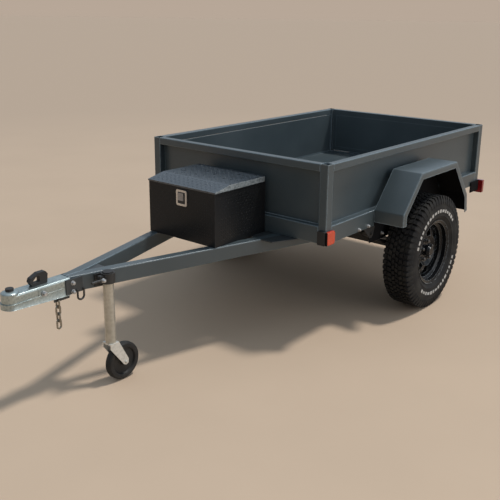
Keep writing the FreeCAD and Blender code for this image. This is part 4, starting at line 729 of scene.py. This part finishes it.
def makeTyres():
    place = middleOf("tyre_left")[0]
    rimRadius = middleOf("rim_left")[1].z / 2
    tyre = joined([tyreCarcass(rimRadius), tyreTread()], "tyreSkinLeft")
    putAt(tyre, place, (-90, 0, 0))
    smooth(tyre, 28)
    marks = sideMarks(place)
    for side, skin, mark in (
        ("right", mirrored(tyre, "tyreSkinRight"), mirrored(marks, "tyreMarksRight")),
        ("left", tyre, marks),
    ):
        dress(skin, "tyreSkin" + side.title(), tyreRubber, "wheel_" + side)
        dress(mark, "tyreMarks" + side.title(), whiteRubber, "wheel_" + side)
        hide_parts("tyre_" + side)


makeTyres()
print("tyres made")

# Bolts: one head with its washer, copied to every place that has one. All shares are of the bolt's size
boltValues = {
    "across": 0.62,
    "rise": 0.704,
    "washer": 0.78,
    "washerThick": 0.16,
    "washerRound": 0.05,
    "cornerInset": 0.10,
    "cornerRise": 0.07,
    "stud": 0.33,
    "studFoot": 0.8,
    "studRound": 0.06,
}


def addBolt(size, stud=0.0):
    # A hexagon head on a washer, standing on Z = 0, with a stud's end if one is asked for
    share = {key: value * size for key, value in boltValues.items()}
    washer = addRod(share["washer"], share["washerThick"], 20)
    putAt(washer, (0, 0, share["washerThick"] / 2))
    roundEdges(washer, share["washerRound"], 1)
    head = addRod(share["across"], share["rise"], 6)
    putAt(head, (0, 0, share["washerThick"] + share["rise"] / 2))
    openMesh(head, "FACE")
    pickFaces(head, lambda centre, normal: normal.z > 0.9)
    bpy.ops.mesh.inset(thickness=share["cornerInset"])
    slide((0, 0, share["cornerRise"]))
    closeMesh()
    parts = [washer, head]
    if stud:
        end = addRod(share["stud"], stud, 14)
        putAt(end, (0, 0, share["studFoot"] + stud / 2))
        roundEdges(end, share["studRound"], 1)
        parts.append(end)
    return joined(parts, "boltHead")


def boltSet(name, size, spots, finish, body, slotName, stud=0.0):
    # spots holds (place, turn in degrees)
    first = addBolt(size, stud)
    heads = []
    for count, (place, turn) in enumerate(spots):
        head = copyOf(first, "%s%d" % (name, count))
        heads.append(putAt(head, place, turn))
    bpy.data.objects.remove(first)
    whole = joined(heads, name)
    smooth(whole, 25)
    return dress(whole, name, finish, body)


# Turns that point a bolt's head to a side
towardLeft = (-90, 0, 0)
towardRight = (90, 0, 0)
downward = (180, 0, 0)


def onBothSides(places):
    left = [((x, y, z), towardLeft) for x, y, z in places]
    return left + [((x, -y, z), towardRight) for x, y, z in places]


# Mudguards: one folded sheet with a turned-down lip, longer behind the wheel than before it
guardValues = {
    "nearSide": 0.6205,
    "farSide": 0.8000,
    "top": 0.8400,
    "frontTop": 0.222,
    "backTop": -0.222,
    "frontFolds": ((0.404, 0.638), (0.404, 0.570)),
    "backFolds": ((-0.407, 0.612), (-0.428, 0.503)),
    "lip": 0.036,
    "lipStart": 0.0004,
    "sharpest": 0.3,
    "foldRound": 0.0055,
    "sheet": 0.0026,
    "railFoot": 0.5475,
    "wallDrop": 0.004,
    "wallShrink": 0.992,
    "wallThick": 0.0015,
}


def guardWall(corners, wheel):
    # The wall behind the wheel, from just under the sheet down to the rail's lower edge, a blackened liner
    # that also stands in for the shade there
    v = guardValues
    foot, drop, shrink = v["railFoot"], v["wallDrop"], v["wallShrink"]
    above = [(x, z - drop) for x, z in corners if z > foot]
    front, back = above[0][0] - drop, above[-1][0] + drop
    rim = [(x * shrink + wheel, z) for x, z in above]
    bpy.ops.mesh.primitive_plane_add(size=1)
    wall = bpy.context.object
    openMesh(wall, "EDGE")
    pickAll()
    bpy.ops.mesh.delete(type="ONLY_FACE")
    closeMesh()
    ends = ((front + wheel, foot), (back + wheel, foot), rim[0], rim[-1])
    for point, (x, z) in zip(wall.data.vertices, ends):
        point.co = (x, 0, z)
    editMesh()
    pickEdges(wall, lambda co: co.z > foot + tiny)
    bpy.ops.mesh.subdivide(number_cuts=len(rim) - 2)
    closeMesh()
    added = sorted((point for point in wall.data.vertices if point.index > 3), key=lambda point: -point.co.x)
    for point, (x, z) in zip(added, rim[1:-1]):
        point.co = (x, 0, z)
    editMesh()
    pickAll()
    bpy.ops.mesh.edge_face_add()
    extrude((0, v["wallThick"], 0))
    closeMesh(turnOut=True)
    return putAt(wall, (0, v["nearSide"], 0))


def foldedGuard(wheel):
    # The sheet, drawn out fold by fold from its top panel, and its corners from front to back
    v = guardValues
    middle = ((v["frontTop"] + v["backTop"]) / 2 + wheel, (v["farSide"] + v["nearSide"]) / 2, v["top"])
    bpy.ops.mesh.primitive_plane_add(size=1, location=middle)
    guard = bpy.context.object
    guard.scale = (v["frontTop"] - v["backTop"], v["farSide"] - v["nearSide"], 1)
    settle(guard)
    corners = [(v["frontTop"], v["top"]), (v["backTop"], v["top"])]
    for way, folds in ((1, v["frontFolds"]), (-1, v["backFolds"])):
        for x, z in folds:
            lastX, lastZ = corners[0] if way > 0 else corners[-1]
            openMesh(guard, "EDGE")
            pickEdges(guard, lambda co: abs(co.x - wheel - lastX) < tiny and abs(co.z - lastZ) < tiny)
            extrude((x - lastX, 0, z - lastZ))
            closeMesh()
            corners = [(x, z)] + corners if way > 0 else corners + [(x, z)]
    return guard, corners


def drawLip(guard, corners, wheel):
    # The outer edge is drawn out once, then each of its corners is set in to the fold's mitre
    v = guardValues
    openMesh(guard, "EDGE")
    pickEdges(guard, lambda co: co.y > v["farSide"] - tiny)
    extrude((0, v["lipStart"], 0))
    for count, (x, z) in enumerate(corners):
        sides = []
        for other in (count - 1, count + 1):
            if 0 <= other < len(corners):
                run = (Vector(corners[other]) - Vector((x, z))).normalized()
                sides.append(Vector((run.y, -run.x)) if other < count else Vector((-run.y, run.x)))
        inward = sum(sides, Vector((0, 0))).normalized()
        inward = inward * v["lip"] / max(inward.dot(sides[0]), v["sharpest"])
        pickPoints(guard, lambda co: co.y > v["farSide"] + v["lipStart"] / 2
                   and abs(co.x - wheel - x) < tiny and abs(co.z - z) < tiny)
        slide((inward.x, 0, inward.y))
    closeMesh(turnOut=True)


def blackInside(guard, centre):
    # Underseal on what faces the wheel
    guard.data.materials.append(undersealBlack)
    for face in guard.data.polygons:
        toWheel = Vector((centre.x - face.center.x, 0, centre.z - face.center.z))
        under = face.normal.dot(toWheel) > 0 and abs(face.normal.y) < 0.5
        behind = face.normal.y * face.center.y < 0 and abs(face.normal.y) > 0.5
        face.material_index = 1 if under or behind else 0


def makeGuards():
    v = guardValues
    centre = middleOf("tyre_left")[0]
    guard, corners = foldedGuard(centre.x)
    drawLip(guard, corners, centre.x)
    roundEdges(guard, v["foldRound"], 4, 20)
    sheeted(guard, v["sheet"])
    smooth(guard, 30)
    wall = guardWall(corners, centre.x)
    for side, piece, back in (
        ("right", mirrored(guard, "guardRight"), mirrored(wall, "guardWallRight")),
        ("left", guard, wall),
    ):
        dress(piece, "guard" + side.title(), bodyPaint, "frame")
        blackInside(piece, centre)
        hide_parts("mudguard_" + side)
        # The wall is near-black as painted shade behind the wheel
        dress(back, "guardWall" + side.title(), undersealBlack, "frame")


makeGuards()
print("mudguards made")

# Wheel nuts
nutValues = {"count": 5, "circle": 0.05715, "discFace": 0.7485, "size": 0.0170, "stud": 0.005, "start": 0.35}


def makeNuts():
    v = nutValues
    wheel = middleOf("tyre_left")[0]
    spots = []
    for count in range(v["count"]):
        turn = tau * count / v["count"] + v["start"]
        around = Vector((v["circle"] * cos(turn), 0, v["circle"] * sin(turn)))
        spots.append((Vector((wheel.x, v["discFace"], wheel.z)) + around, towardLeft))
    left = boltSet("wheelNutsLeft", v["size"], spots, nutSteel, "wheel_left", "galvanised", v["stud"])
    dress(mirrored(left, "wheelNutsRight"), "wheelNutsRight", nutSteel, "wheel_right")


makeNuts()

# Bolts on the frame
frameBoltValues = {
    "coupling": (1.4865, 0.0400, 0.5135),
    "couplingSize": 0.015,
    "bracket": ((1.342, 0.0444, 0.521), (1.342, 0.0444, 0.480)),
    "clamp": (1.2365, 0.1225, 0.522),
    "plateSize": 0.0135,
    "springOut": 0.590,
    "uBolt": 0.031,
    "nutSize": 0.014,
    "stay": (-0.346, 0.483),
    "rail": ((-0.182, 0.560), (-0.087, 0.560)),
    "staySize": 0.013,
    "stud": 0.004,
    "clampStud": 0.005,
}


def makeFrameBolts():
    v = frameBoltValues
    rest = (zinc, "frame", "galvanised")
    boltSet("couplingBolts", v["couplingSize"], onBothSides([v["coupling"]]), *rest)
    boltSet("bracketBolts", v["plateSize"], onBothSides(v["bracket"]), *rest, v["stud"])
    boltSet("clampBolt", v["plateSize"], [(v["clamp"], towardLeft)], *rest, v["clampStud"])


def makeSpringNuts():
    # Nuts under each clamp plate, on the ends of the U-bolts
    v = frameBoltValues
    low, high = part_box("axle_clamps")
    middle, off = (low.x + high.x) / 2, v["uBolt"]
    spots = []
    for way in (1, -1):
        for a, b in ((off, off), (off, -off), (-off, off), (-off, -off)):
            spots.append(((middle + a, way * (v["springOut"] + b), low.z + v["nutSize"]), downward))
    boltSet("clampNuts", v["nutSize"], spots, zinc, "frame", "galvanised")


def makeStayBolts():
    # Bright heads where the springs' stays and hangers meet the rail
    v = frameBoltValues
    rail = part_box("chassis_rails_side")[1].y
    stayFace = plateValues["stayOut"] + plateValues["stayThick"] / 2
    places = [(v["stay"][0], stayFace, v["stay"][1])] + [(x, rail, z) for x, z in v["rail"]]
    boltSet("stayBolts", v["staySize"], onBothSides(places), zinc, "frame", "galvanised", v["stud"])


makeFrameBolts()
makeSpringNuts()
print("bolts set")

# Plates: gussets by the front rail, stays behind the mudguards' front edge, shields and covers on the lamps
plateValues = {
    "gussetTop": 0.5455,
    "gussetThick": 0.006,
    "gussetRound": 0.0008,
    "frontFace": 0.228,
    "reach": 0.130,
    "under": 0.060,
    "inner": 0.190,
    "outer": 0.470,
    "noseShare": 0.5,
    "noseAt": 0.62,
    "stayFoot": 0.452,
    "stayAt": 0.320,
    "stayLong": 0.260,
    "stayThick": 0.005,
    "stayTaper": 0.85,
    "stayRound": 0.0010,
    "stayOut": 0.612,
    "lampBack": -1.640,
    "lampLong": 0.125,
    "lampLow": 0.505,
    "lampHigh": 0.577,
    "lampThick": 0.008,
    "lampRim": 0.010,
    "lampRise": 0.002,
    "lampRound": 0.0016,
    "coverWide": 0.030,
    "coverThick": 0.0024,
    "coverProud": 0.0008,
    "coverInset": 0.0015,
    "coverShort": 0.002,
    "coverRim": 0.004,
    "coverRise": 0.0010,
    "coverRound": 0.0009,
}


def makeGussets():
    # Gusset plates that also fill the gap under the tool box with painted shade, where the floor beyond lies
    # in shadow
    v = plateValues
    x = v["frontFace"] + (v["reach"] - v["under"]) / 2
    z = v["gussetTop"] - v["gussetThick"] / 2
    size = (v["reach"] + v["under"], v["outer"] - v["inner"], v["gussetThick"])
    plates = []
    for way in (1, -1):
        plate = addBlock((x, way * (v["inner"] + v["outer"]) / 2, z), size)
        openMesh(plate, "FACE")
        pickFaces(plate, lambda centre, normal: normal.x > 0.9)
        pivot = (0, way * v["outer"] * v["noseAt"], 0)
        grow((1, v["noseShare"], 1), pivot)
        closeMesh()
        roundEdges(plate, v["gussetRound"], 1)
        plates.append(plate)
    dress(joined(plates, "drawbarGussets"), "drawbarGussets", shadedBodyPaint, "frame")


def makeStays():
    # Stay plates in near-black underseal, which also stand in for the shade in the gap under the rail
    v = plateValues
    x = middleOf("tyre_left")[0].x + v["stayAt"]
    low, high = v["stayFoot"], v["gussetTop"]
    stays = []
    for way in (1, -1):
        size = (v["stayLong"], v["stayThick"], high - low)
        stay = addBlock((x, way * v["stayOut"], (low + high) / 2), size)
        openMesh(stay, "FACE")
        pickFaces(stay, lambda centre, normal: normal.z < -0.9)
        grow((v["stayTaper"], 1, 1), (x, 0, 0))
        closeMesh()
        roundEdges(stay, v["stayRound"], 1)
        stays.append(stay)
    dress(joined(stays, "springStays"), "springStays", undersealBlack, "frame")


def makeShields():
    v = plateValues
    x, z = v["lampBack"] + v["lampLong"] / 2, (v["lampLow"] + v["lampHigh"]) / 2
    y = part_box("chassis_rails_side")[1].y + v["lampThick"] / 2
    size = (v["lampLong"], v["lampThick"], v["lampHigh"] - v["lampLow"])
    shields = []
    for way in (1, -1):
        shield = addPanel((x, way * y, z), size, Vector((0, way, 0)), v["lampRim"], v["lampRise"])
        roundEdges(shield, v["lampRound"])
        shields.append(shield)
    dress(joined(shields, "lampShields"), "lampShields", undersealBlack, "frame")


def makeMarkerCovers():
    v = plateValues
    low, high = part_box("marker_lenses")
    x, z = high.x + v["coverProud"], (low.z + high.z) / 2
    y = high.y - v["coverInset"] - v["coverWide"] / 2
    size = (v["coverThick"], v["coverWide"], high.z - low.z - v["coverShort"])
    covers = []
    for way in (1, -1):
        cover = addPanel((x, way * y, z), size, Vector((1, 0, 0)), v["coverRim"], v["coverRise"])
        roundEdges(cover, v["coverRound"])
        covers.append(cover)
    dress(joined(covers, "markerCovers"), "markerCovers", undersealBlack, "frame")


# The coupling's side skirts, drawn deeper towards the head, with a rolled lip
coupleValues = {
    "ball": 1.623,
    "radius": 0.0414,
    "top": 0.5080,
    "headFoot": 0.4820,
    "joints": ((1.500, 0.0397, 0.4750), (1.400, 0.0388, 0.4690), (1.352, 0.0386, 0.4670)),
    "lip": 0.0015,
    "lipDrop": 0.0010,
    "sheet": 0.0016,
    "edgeRound": 0.0006,
}


def makeCoupling():
    v = coupleValues
    top = v["top"]
    skirt = addRod(v["radius"], top - v["headFoot"], 48, "NOTHING")
    putAt(skirt, (v["ball"], 0, (top + v["headFoot"]) / 2))
    openMesh(skirt, "FACE")
    pickFaces(skirt, lambda centre, normal: centre.x < v["ball"] - tiny)
    bpy.ops.mesh.delete(type="FACE")
    bpy.ops.mesh.select_mode(type="EDGE")
    lastX, lastHalf, lastFoot = v["ball"], v["radius"], v["headFoot"]
    for x, half, foot in v["joints"]:
        pickEdges(skirt, lambda co: co.x < lastX + tiny)
        extrude((x - lastX, 0, 0))
        deeper = (top - foot) / (top - lastFoot)
        grow((1, half / lastHalf, deeper), (0, 0, top))
        lastX, lastHalf, lastFoot = x, half, foot
    # The lip turns out from the lower edge
    pickEdges(skirt, lambda co: co.z < (top + v["headFoot"]) / 2)
    extrude((0, 0, -v["lipDrop"]))
    grow((1, 1 + v["lip"] / v["radius"], 1))
    closeMesh(turnOut=True)
    sheeted(skirt, v["sheet"])
    roundEdges(skirt, v["edgeRound"], 1)
    smooth(skirt, 30)
    dress(skirt, "couplingSkirt", coupleZinc, "frame")


# Tool box: raised tread on its sheets, the lid's edge painted pale as a highlight, the latch's paddle
treadValues = {
    "long": 0.0125,
    "wide": 0.0038,
    "high": 0.0009,
    "pitch": 0.0155,
    "crest": (0.72, 0.6),
    "inset": 0.012,
    "tall": 0.262,
    "slopeLong": 0.110,
    "slopeRise": 0.023,
    "slopeStart": 0.004,
    "slopeEnd": 0.006,
    "slopeDown": 0.0008,
}


def treadPatch(name, corner, across, along, out, sizes, finish, body):
    # Fills a rectangle of sizes (across, along) from its corner with raised bars, every second one turned
    v = treadValues
    bars = []
    for count, turn in enumerate((45, -45, -45, 45)):
        bar = addRod(0.5, 1, 8)
        bar.scale = (v["long"], v["wide"], v["high"] * 2)
        settle(bar)
        openMesh(bar, "FACE")
        pickFaces(bar, lambda centre, normal: normal.z > 0.9)
        grow((*v["crest"], 1))
        pickFaces(bar, lambda centre, normal: normal.z < -0.9)
        bpy.ops.mesh.delete(type="FACE")
        closeMesh()
        putAt(bar, ((count % 2 + 0.5) * v["pitch"], (count // 2 + 0.5) * v["pitch"], 0), (0, 0, turn))
        bars.append(bar)
    patch = joined(bars, name)
    repeat(patch, int(sizes[0] / v["pitch"] / 2), (2 * v["pitch"], 0, 0))
    repeat(patch, int(sizes[1] / v["pitch"] / 2), (0, 2 * v["pitch"], 0))
    spread = Matrix((across, along, out)).transposed().to_4x4()
    used = [int(s / v["pitch"] / 2) * 2 * v["pitch"] for s in sizes]
    shift = (sizes[0] - used[0]) / 2 * Vector(across) + (sizes[1] - used[1]) / 2 * Vector(along)
    patch.matrix_world = Matrix.Translation(Vector(corner) + shift) @ spread
    dress(patch, name, finish, body)
    smooth(patch, 40)
    return patch


def makeTreads():
    v = treadValues
    low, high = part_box("toolbox_body")
    lidLow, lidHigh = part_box("toolbox_lid")
    inset, slopeLong, rise = v["inset"], v["slopeLong"], v["slopeRise"]
    bend = lidHigh.x - slopeLong
    wide = lidHigh.y - lidLow.y - 2 * inset
    treadPatch(
        "lidTreadFlat", (lidLow.x + inset, lidLow.y + inset, lidHigh.z), (1, 0, 0), (0, 1, 0), (0, 0, 1),
        (bend - lidLow.x - inset, wide), lidSkySheen, "lid",
    )
    run = tuple(Vector((slopeLong, 0, -rise)).normalized())
    up = tuple(Vector((rise, 0, slopeLong)).normalized())
    corner = (bend + v["slopeStart"], lidLow.y + inset, lidHigh.z - v["slopeDown"])
    slopeUsed = slopeLong - v["slopeStart"] - v["slopeEnd"]
    treadPatch("lidTreadSlope", corner, run, (0, 1, 0), up, (slopeUsed, wide), lidSkySheen, "lid")
    foot, tall = low.z + inset, v["tall"]
    across, along = high.y - low.y - 2 * inset, high.x - low.x - 2 * inset
    for name, corner, run, out, wide in (
        ("boxTreadFront", (high.x, low.y + inset, foot), (0, 1, 0), (1, 0, 0), across),
        ("boxTreadLeft", (high.x - inset, high.y, foot), (-1, 0, 0), (0, 1, 0), along),
        ("boxTreadRight", (low.x + inset, low.y, foot), (1, 0, 0), (0, -1, 0), along),
    ):
        treadPatch(name, corner, run, (0, 0, 1), out, (wide, tall), boxBlack, "frame")


# The lid's folded edge, painted pale as a highlight, on both sides
skirtValues = {
    "proud": 0.0012,
    "foot": 0.8225,
    "nose": 0.0055,
    "back": 0.012,
    "front": 0.003,
    "top": 0.002,
    "edgeRound": 0.0005,
}


def makeSkirts():
    v = skirtValues
    low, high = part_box("toolbox_lid")
    back, bend, front = low.x + v["back"], high.x - treadValues["slopeLong"], high.x - v["front"]
    foot, top = v["foot"], high.z - v["top"]
    skirts = []
    for way in (1, -1):
        bpy.ops.mesh.primitive_plane_add(size=1, location=(0, 0, 0))
        skirt = bpy.context.object
        ends = ((back, foot), (bend, foot), (back, top), (bend, top))
        for point, (x, z) in zip(skirt.data.vertices, ends):
            point.co = (x, 0, z)
        openMesh(skirt, "EDGE")
        pickEdges(skirt, lambda co: co.x > bend - tiny)
        extrude((front - bend, 0, 0))
        pickPoints(skirt, lambda co: co.x > front - tiny and co.z > foot + tiny)
        slide((0, 0, foot + v["nose"] - top))
        pickAll()
        extrude((0, way * v["proud"], 0))
        closeMesh(turnOut=True)
        putAt(skirt, (0, high.y if way > 0 else low.y, 0))
        roundEdges(skirt, v["edgeRound"], 1)
        skirts.append(skirt)
    dress(joined(skirts, "lidSkirts"), "lidSkirts", lidEdgeHighlight, "lid")


# The latch: a black well in its frame as painted shade in the recess, and the paddle that lifts
latchValues = {
    "place": (0.633, 0.009, 0.766),
    "well": (0.0016, 0.0500, 0.0580),
    "wellRim": 0.0012,
    "wellSunk": 0.0006,
    "paddle": (0.0030, 0.0390, 0.0400),
    "paddleAt": (0.0016, -0.0035, 0.0060),
    "paddleRim": 0.0040,
    "paddleSunk": 0.0009,
    "paddleRound": 0.0009,
    "lockRadius": 0.0052,
    "lockThick": 0.0022,
    "lockRound": 0.0005,
    "lockAt": (0.0030, -0.0035, 0.0100),
}


def makeLatch():
    v = latchValues
    place, front = Vector(v["place"]), Vector((1, 0, 0))
    # The well is black as painted shade inside the latch's recess
    well = addPanel(place, v["well"], front, v["wellRim"], -v["wellSunk"])
    dress(well, "latchShadeWell", blackSteel, "frame")
    paddleAt = place + Vector(v["paddleAt"])
    paddle = addPanel(paddleAt, v["paddle"], front, v["paddleRim"], -v["paddleSunk"])
    roundEdges(paddle, v["paddleRound"])
    lock = addRod(v["lockRadius"], v["lockThick"])
    putAt(lock, place + Vector(v["lockAt"]), (0, 90, 0))
    roundEdges(lock, v["lockRound"], 1)
    whole = joined([paddle, lock], "latchPaddle")
    smooth(whole, 30)
    dress(whole, "latchPaddle", latchGrey, "frame")


makeGussets()
makeStays()
makeShields()
makeMarkerCovers()
makeStayBolts()
makeCoupling()
makeTreads()
makeSkirts()
makeLatch()
print("tool box dressed")


# Floor, sun and sky
stageValues = {
    "floorSize": 400,
    "floorTone": (0.530, 0.405, 0.297),
    "floorDrift": (1.03, 0.97),
    "farTone": (0.452, 0.349, 0.263),
    "farReach": (1.5, 9.0),
    "sunPlace": (-3, 2, 8),
    "sunAlong": (0.33, -0.21, -0.92),
    "sunPower": 2.1,
    "sunSpread": 7,
    "sunTone": (1.0, 0.97, 0.93),
    "fillPlace": (-1.8, 7.4, 2.2),
    "fillAim": (0.2, 0, 0.4),
    "fillSize": 5,
    "fillPower": 120,
    "skyPower": 0.60,
    "backTone": (0.474, 0.386, 0.314),
    "skyBands": (
        (0.0, (0.56, 0.475, 0.385)),
        (0.10, (0.62, 0.60, 0.58)),
        (0.30, (0.74, 0.86, 1.0)),
        (1.0, (0.70, 0.84, 1.0)),
    ),
    "skyBack": (-0.6, 1.18),
    "skyFront": (0.9, 0.62),
}


def setFloor():
    v = stageValues
    bpy.ops.mesh.primitive_plane_add(size=v["floorSize"], location=(0, 0, 0))
    floor = bpy.context.object
    floor.name = "stageFloor"
    material, tree, shader = newMaterial("stageFloor")
    place = addNode(tree, "TexCoord").outputs["Object"]
    grain = addNode(tree, "TexNoise", {"Vector": place, "Scale": 1.2, "Detail": 6}).outputs["Fac"]
    pale, deep = (tuple(tone * share for tone in v["floorTone"]) for share in v["floorDrift"])
    close = mixColours(tree, rangeOf(tree, grain, 0, 1), deep, pale)
    away = rangeOf(tree, workOut(tree, "VectorMath", "LENGTH", place), 0, 1, *v["farReach"])
    tone = mixColours(tree, away, close, v["farTone"])
    setInputs(tree, shader, {"Base Color": tone, "Roughness": 0.95, "Specular IOR Level": 0.1})
    floor.data.materials.append(material)


def setSky():
    # Its light runs from a sandy tone at the horizon to a pale blue overhead. The camera sees one plain
    # tone instead, close to the lit far floor, so no horizon line shows
    v = stageValues
    world = bpy.data.worlds.new("studioSky")
    world.use_nodes = True
    tree = world.node_tree
    place = addNode(tree, "TexCoord").outputs["Generated"]
    split = addNode(tree, "SeparateXYZ", {"Vector": place}).outputs
    bands = addNode(tree, "ValToRGB", {"Fac": split["Z"]})
    ramp = bands.color_ramp
    while len(ramp.elements) < len(v["skyBands"]):
        ramp.elements.new(0.5)
    for mark, (height, tone) in zip(ramp.elements, v["skyBands"]):
        mark.position = height
        mark.color = tone + (1,)
    # Less light comes from the trailer's front than from its back
    (backAt, backShare), (frontAt, frontShare) = v["skyBack"], v["skyFront"]
    power = v["skyPower"]
    strength = rangeOf(tree, split["X"], power * backShare, power * frontShare, backAt, frontAt)
    lightFrom = tree.nodes["Background"]
    setInputs(tree, lightFrom, {"Strength": strength, "Color": bands.outputs["Color"]})
    seen = addNode(tree, "Background", {"Color": v["backTone"] + (1,)}).outputs["Background"]
    ray = addNode(tree, "LightPath").outputs["Is Camera Ray"]
    pick = addNode(tree, "MixShader", {"Fac": ray, 1: lightFrom.outputs["Background"], 2: seen})
    setInputs(tree, tree.nodes["World Output"], {"Surface": pick.outputs["Shader"]})
    bpy.context.scene.world = world


def setLamps():
    v = stageValues
    bpy.ops.object.light_add(type="SUN", location=v["sunPlace"])
    sun = bpy.context.object
    sun.name = "softSun"
    sun.rotation_euler = Vector(v["sunAlong"]).to_track_quat("-Z", "Y").to_euler()
    sun.data.energy = v["sunPower"]
    sun.data.angle = radians(v["sunSpread"])
    sun.data.color = v["sunTone"]
    bpy.ops.object.light_add(type="AREA", location=v["fillPlace"])
    fill = bpy.context.object
    fill.name = "softFill"
    toTrailer = Vector(v["fillAim"]) - Vector(v["fillPlace"])
    fill.rotation_euler = toTrailer.to_track_quat("-Z", "Y").to_euler()
    fill.data.size = v["fillSize"]
    fill.data.energy = v["fillPower"]


setFloor()
setSky()
setLamps()
print("stage set")
